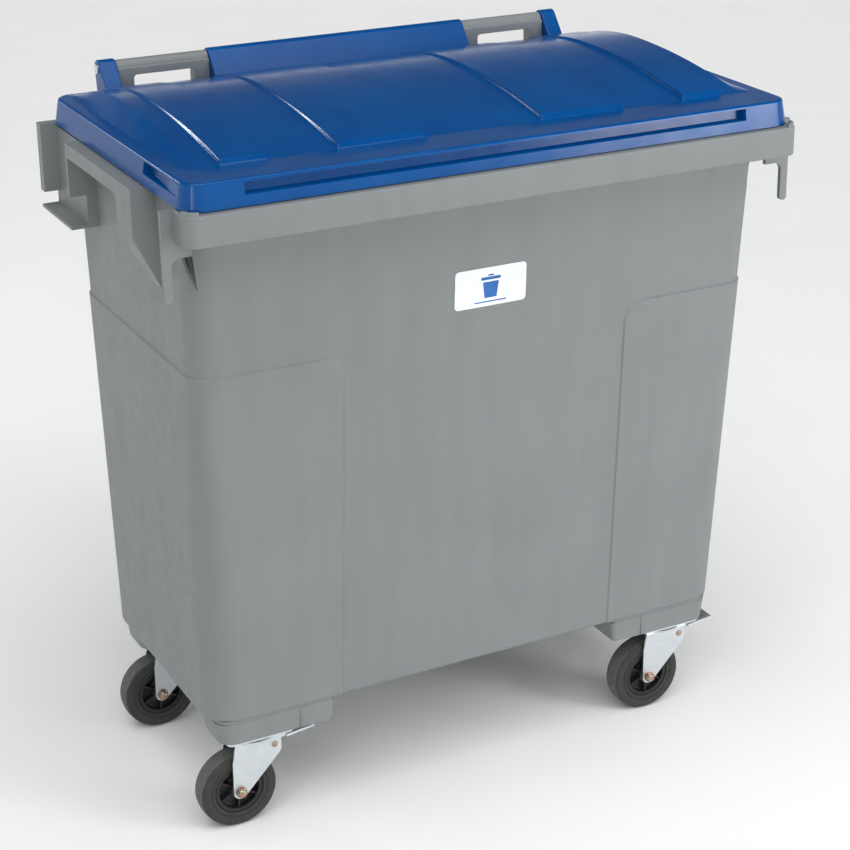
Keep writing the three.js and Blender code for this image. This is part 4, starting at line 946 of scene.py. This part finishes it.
def axle_nut_mesh():
    """A flanged cap nut with a domed end."""
    seat = -FORK_HALF - 0.3
    dome = [(0, seat - 13)] + [(9.4 * math.sin(math.radians(a)), seat - 7 - 6 * math.cos(math.radians(a)))
                               for a in range(15, 91, 15)]
    nut = combine(hexagon(11, seat - 7.5, seat, 1.2, "Y"),
                  [turned(dome + [(9.4, seat - 3), (0, seat - 3)], "Y", 40),
                   turned([(0, seat - 1.4), (11.6, seat - 1.4), (11.6, seat), (0, seat)], "Y", 40)], "UNION")
    return combine(nut, [turned([(0, seat - 8), (6.3, seat - 8), (6.3, seat + 2), (0, seat + 2)], "Y", 32)],
                   "DIFFERENCE")


def brake_pin_mesh():
    x, z = PEDAL_PIVOT
    seat = FORK_HALF + 0.3
    head = [(0, seat + 3), (3, seat + 2.8), (5.2, seat + 1.9), (6.5, seat + 0.4), (6.5, seat), (4, seat)]
    return turned(head + [(r, -h) for r, h in reversed(head)], "Y", 40, (x, 0, z))


def plate_bolt_mesh():
    head = PLATE_BOTTOM - 0.3
    washer = turned([(0, head - 1.2), (7.5, head - 1.2), (7.5, head - 0.3), (7.1, head), (0, head)], "Z", 32)
    thread = turned([(0, head - 0.5), (4, head - 0.5), (4, FOOT_BOTTOM + 9.5), (3.4, FOOT_BOTTOM + 10),
                     (0, FOOT_BOTTOM + 10)], "Z", 20)
    return combine(hexagon(7, head - 5.3, head - 1, 0.8, "Z"), [washer, thread], "UNION")


def build_castors():
    """Each castor's pieces about its own swivel axis, which the CAD top plate gives."""
    for name in CASTORS:
        low, high = cad_box(f"{name}_top_plate")
        swivel = ((low.x + high.x) / 2, (low.y + high.y) / 2, 0)
        axle = (swivel[0] - TRAIL, swivel[1], AXLE_Z)
        braked = name.startswith("front")
        turning, wheel = f"{name}_swivel", f"{name}_wheel"

        def fit(node, mesh, surface, body, at=swivel, sharp=38):
            return place(f"{node}_formed", moved(mesh, at), surface, body, [node], sharp)

        fit(f"{name}_top_plate", plate_mesh(), ZINC, "tub")
        race = fit(f"{name}_swivel_bearing", raceway_mesh(), ZINC, "tub")
        race.data.materials.append(BLACK)
        for face in race.data.polygons:
            face.material_index = 1 if CROWN_TOP + 2.7 < face.center.z / MM < PLATE_BOTTOM - 1.6 else 0
        fit(f"{name}_kingpin", kingpin_mesh(), ZINC, "tub")
        fit(f"{name}_fork", fork_mesh(braked), ZINC, turning)
        tyre = fit(f"{name}_tyre", tyre_mesh(), RUBBER, wheel, axle)
        tyre.data.materials.append(TREAD)
        for face in tyre.data.polygons:
            reach = math.hypot(face.center.x / MM - axle[0], face.center.z / MM - AXLE_Z)
            face.material_index = 1 if reach > 78 else 0
        fit(f"{name}_wheel_centre", wheel_centre_mesh(), BLACK, wheel, axle)
        fit(f"{name}_axle_bolt", axle_bolt_mesh(), ZINC, turning, axle)
        fit(f"{name}_axle_nut", axle_nut_mesh(), BRASS, turning, axle)
        if braked:
            fit(f"{name}_brake_pedal", pedal_mesh(), ZINC, f"{name}_pedal")
            fit(f"{name}_brake_pin", brake_pin_mesh(), BRASS, turning)
        for i in range(1, 5):
            bolt_low, bolt_high = cad_box(f"{name}_plate_bolt_{i}")
            at = ((bolt_low.x + bolt_high.x) / 2, (bolt_low.y + bolt_high.y) / 2, 0)
            fit(f"{name}_plate_bolt_{i}", plate_bolt_mesh(), ZINC, "tub", at)


# ------------------------------------------------------------------ studio


def aim(item, target):
    item.rotation_mode = "QUATERNION"
    item.rotation_quaternion = (Vector(target) - item.location).to_track_quat("-Z", "Y")


def soft_light(name, where, target, size, power):
    """A rectangular soft box."""
    data = bpy.data.lights.new(name, "AREA")
    data.shape = "RECTANGLE"
    data.size, data.size_y = size
    data.energy = power
    item = bpy.data.objects.new(name, data)
    item.location = where
    bpy.context.scene.collection.objects.link(item)
    aim(item, target)


def build_studio():
    """A white paper sweep in a surround that darkens upwards, with a sun and three soft boxes."""
    reach = 30000
    corners = ((-reach, -reach), (reach, -reach), (reach, reach), (-reach, reach))
    floor = skin([[(x, y, z) for x, y in corners] for z in (-20, 0)])
    bmesh.ops.scale(floor, vec=(MM, MM, MM), verts=floor.verts)
    sweep = loose_object(floor, "paper_floor")
    sweep.data.materials.append(studio_floor())
    world = bpy.data.worlds.new("studio_surround")
    world.use_nodes = True
    tree = world.node_tree
    tree.nodes.clear()
    direction = add(tree, "ShaderNodeTexCoord")
    upward = add(tree, "ShaderNodeSeparateXYZ", {}, {"Vector": (direction, "Generated")})
    fade = add(tree, "ShaderNodeMapRange", {"From Min": 0.03, "From Max": 0.26, "To Min": 0.95, "To Max": 0.09},
               {"Value": (upward, "Z")})
    surround = add(tree, "ShaderNodeBackground", {"Color": (1, 1, 1, 1)}, {"Strength": (fade, "Result")})
    add(tree, "ShaderNodeOutputWorld", {}, {"Surface": (surround, "Background")})
    bpy.context.scene.world = world
    overhead = bpy.data.lights.new("overhead_bank", "SUN")
    overhead.energy = 2.5
    overhead.angle = math.radians(70)
    bank = bpy.data.objects.new("overhead_bank", overhead)
    bank.location = (-0.6, -1.4, 4)
    bpy.context.scene.collection.objects.link(bank)
    aim(bank, (0, 0, 0.5))
    soft_light("soft_box_back_left", (-2.6, 3.6, 1.78), (0, 0, 1.3), (0.6, 0.36), 16)
    soft_light("soft_box_left", (-3.2, -2.2, 1.5), (-0.6, -0.35, 1.25), (0.22, 1.1), 8)
    soft_light("soft_box_front", (2.8, -3.6, 1.9), (0.4, -0.3, 0.9), (1.4, 1.2), 75)


def build_camera():
    """A long lens from the front left, a little above the lid."""
    azimuth, elevation = math.radians(-28.8), math.radians(20.5)
    target = Vector((0.166, 0, 0.827))
    back = Vector((math.sin(azimuth) * math.cos(elevation), -math.cos(azimuth) * math.cos(elevation),
                   math.sin(elevation)))
    data = bpy.data.cameras.new("camera")
    data.lens = 90.2
    data.shift_x = -0.0795
    data.shift_y = -0.0972
    data.clip_end = 60
    camera = bpy.data.objects.new("camera", data)
    camera.location = target + back * 4.39
    bpy.context.scene.collection.objects.link(camera)
    aim(camera, target)
    bpy.context.scene.camera = camera


build_camera()
build_tub()
build_lid()
build_label()
build_drain()
build_castors()
build_studio()
bpy.context.scene.view_settings.view_transform = "Standard"
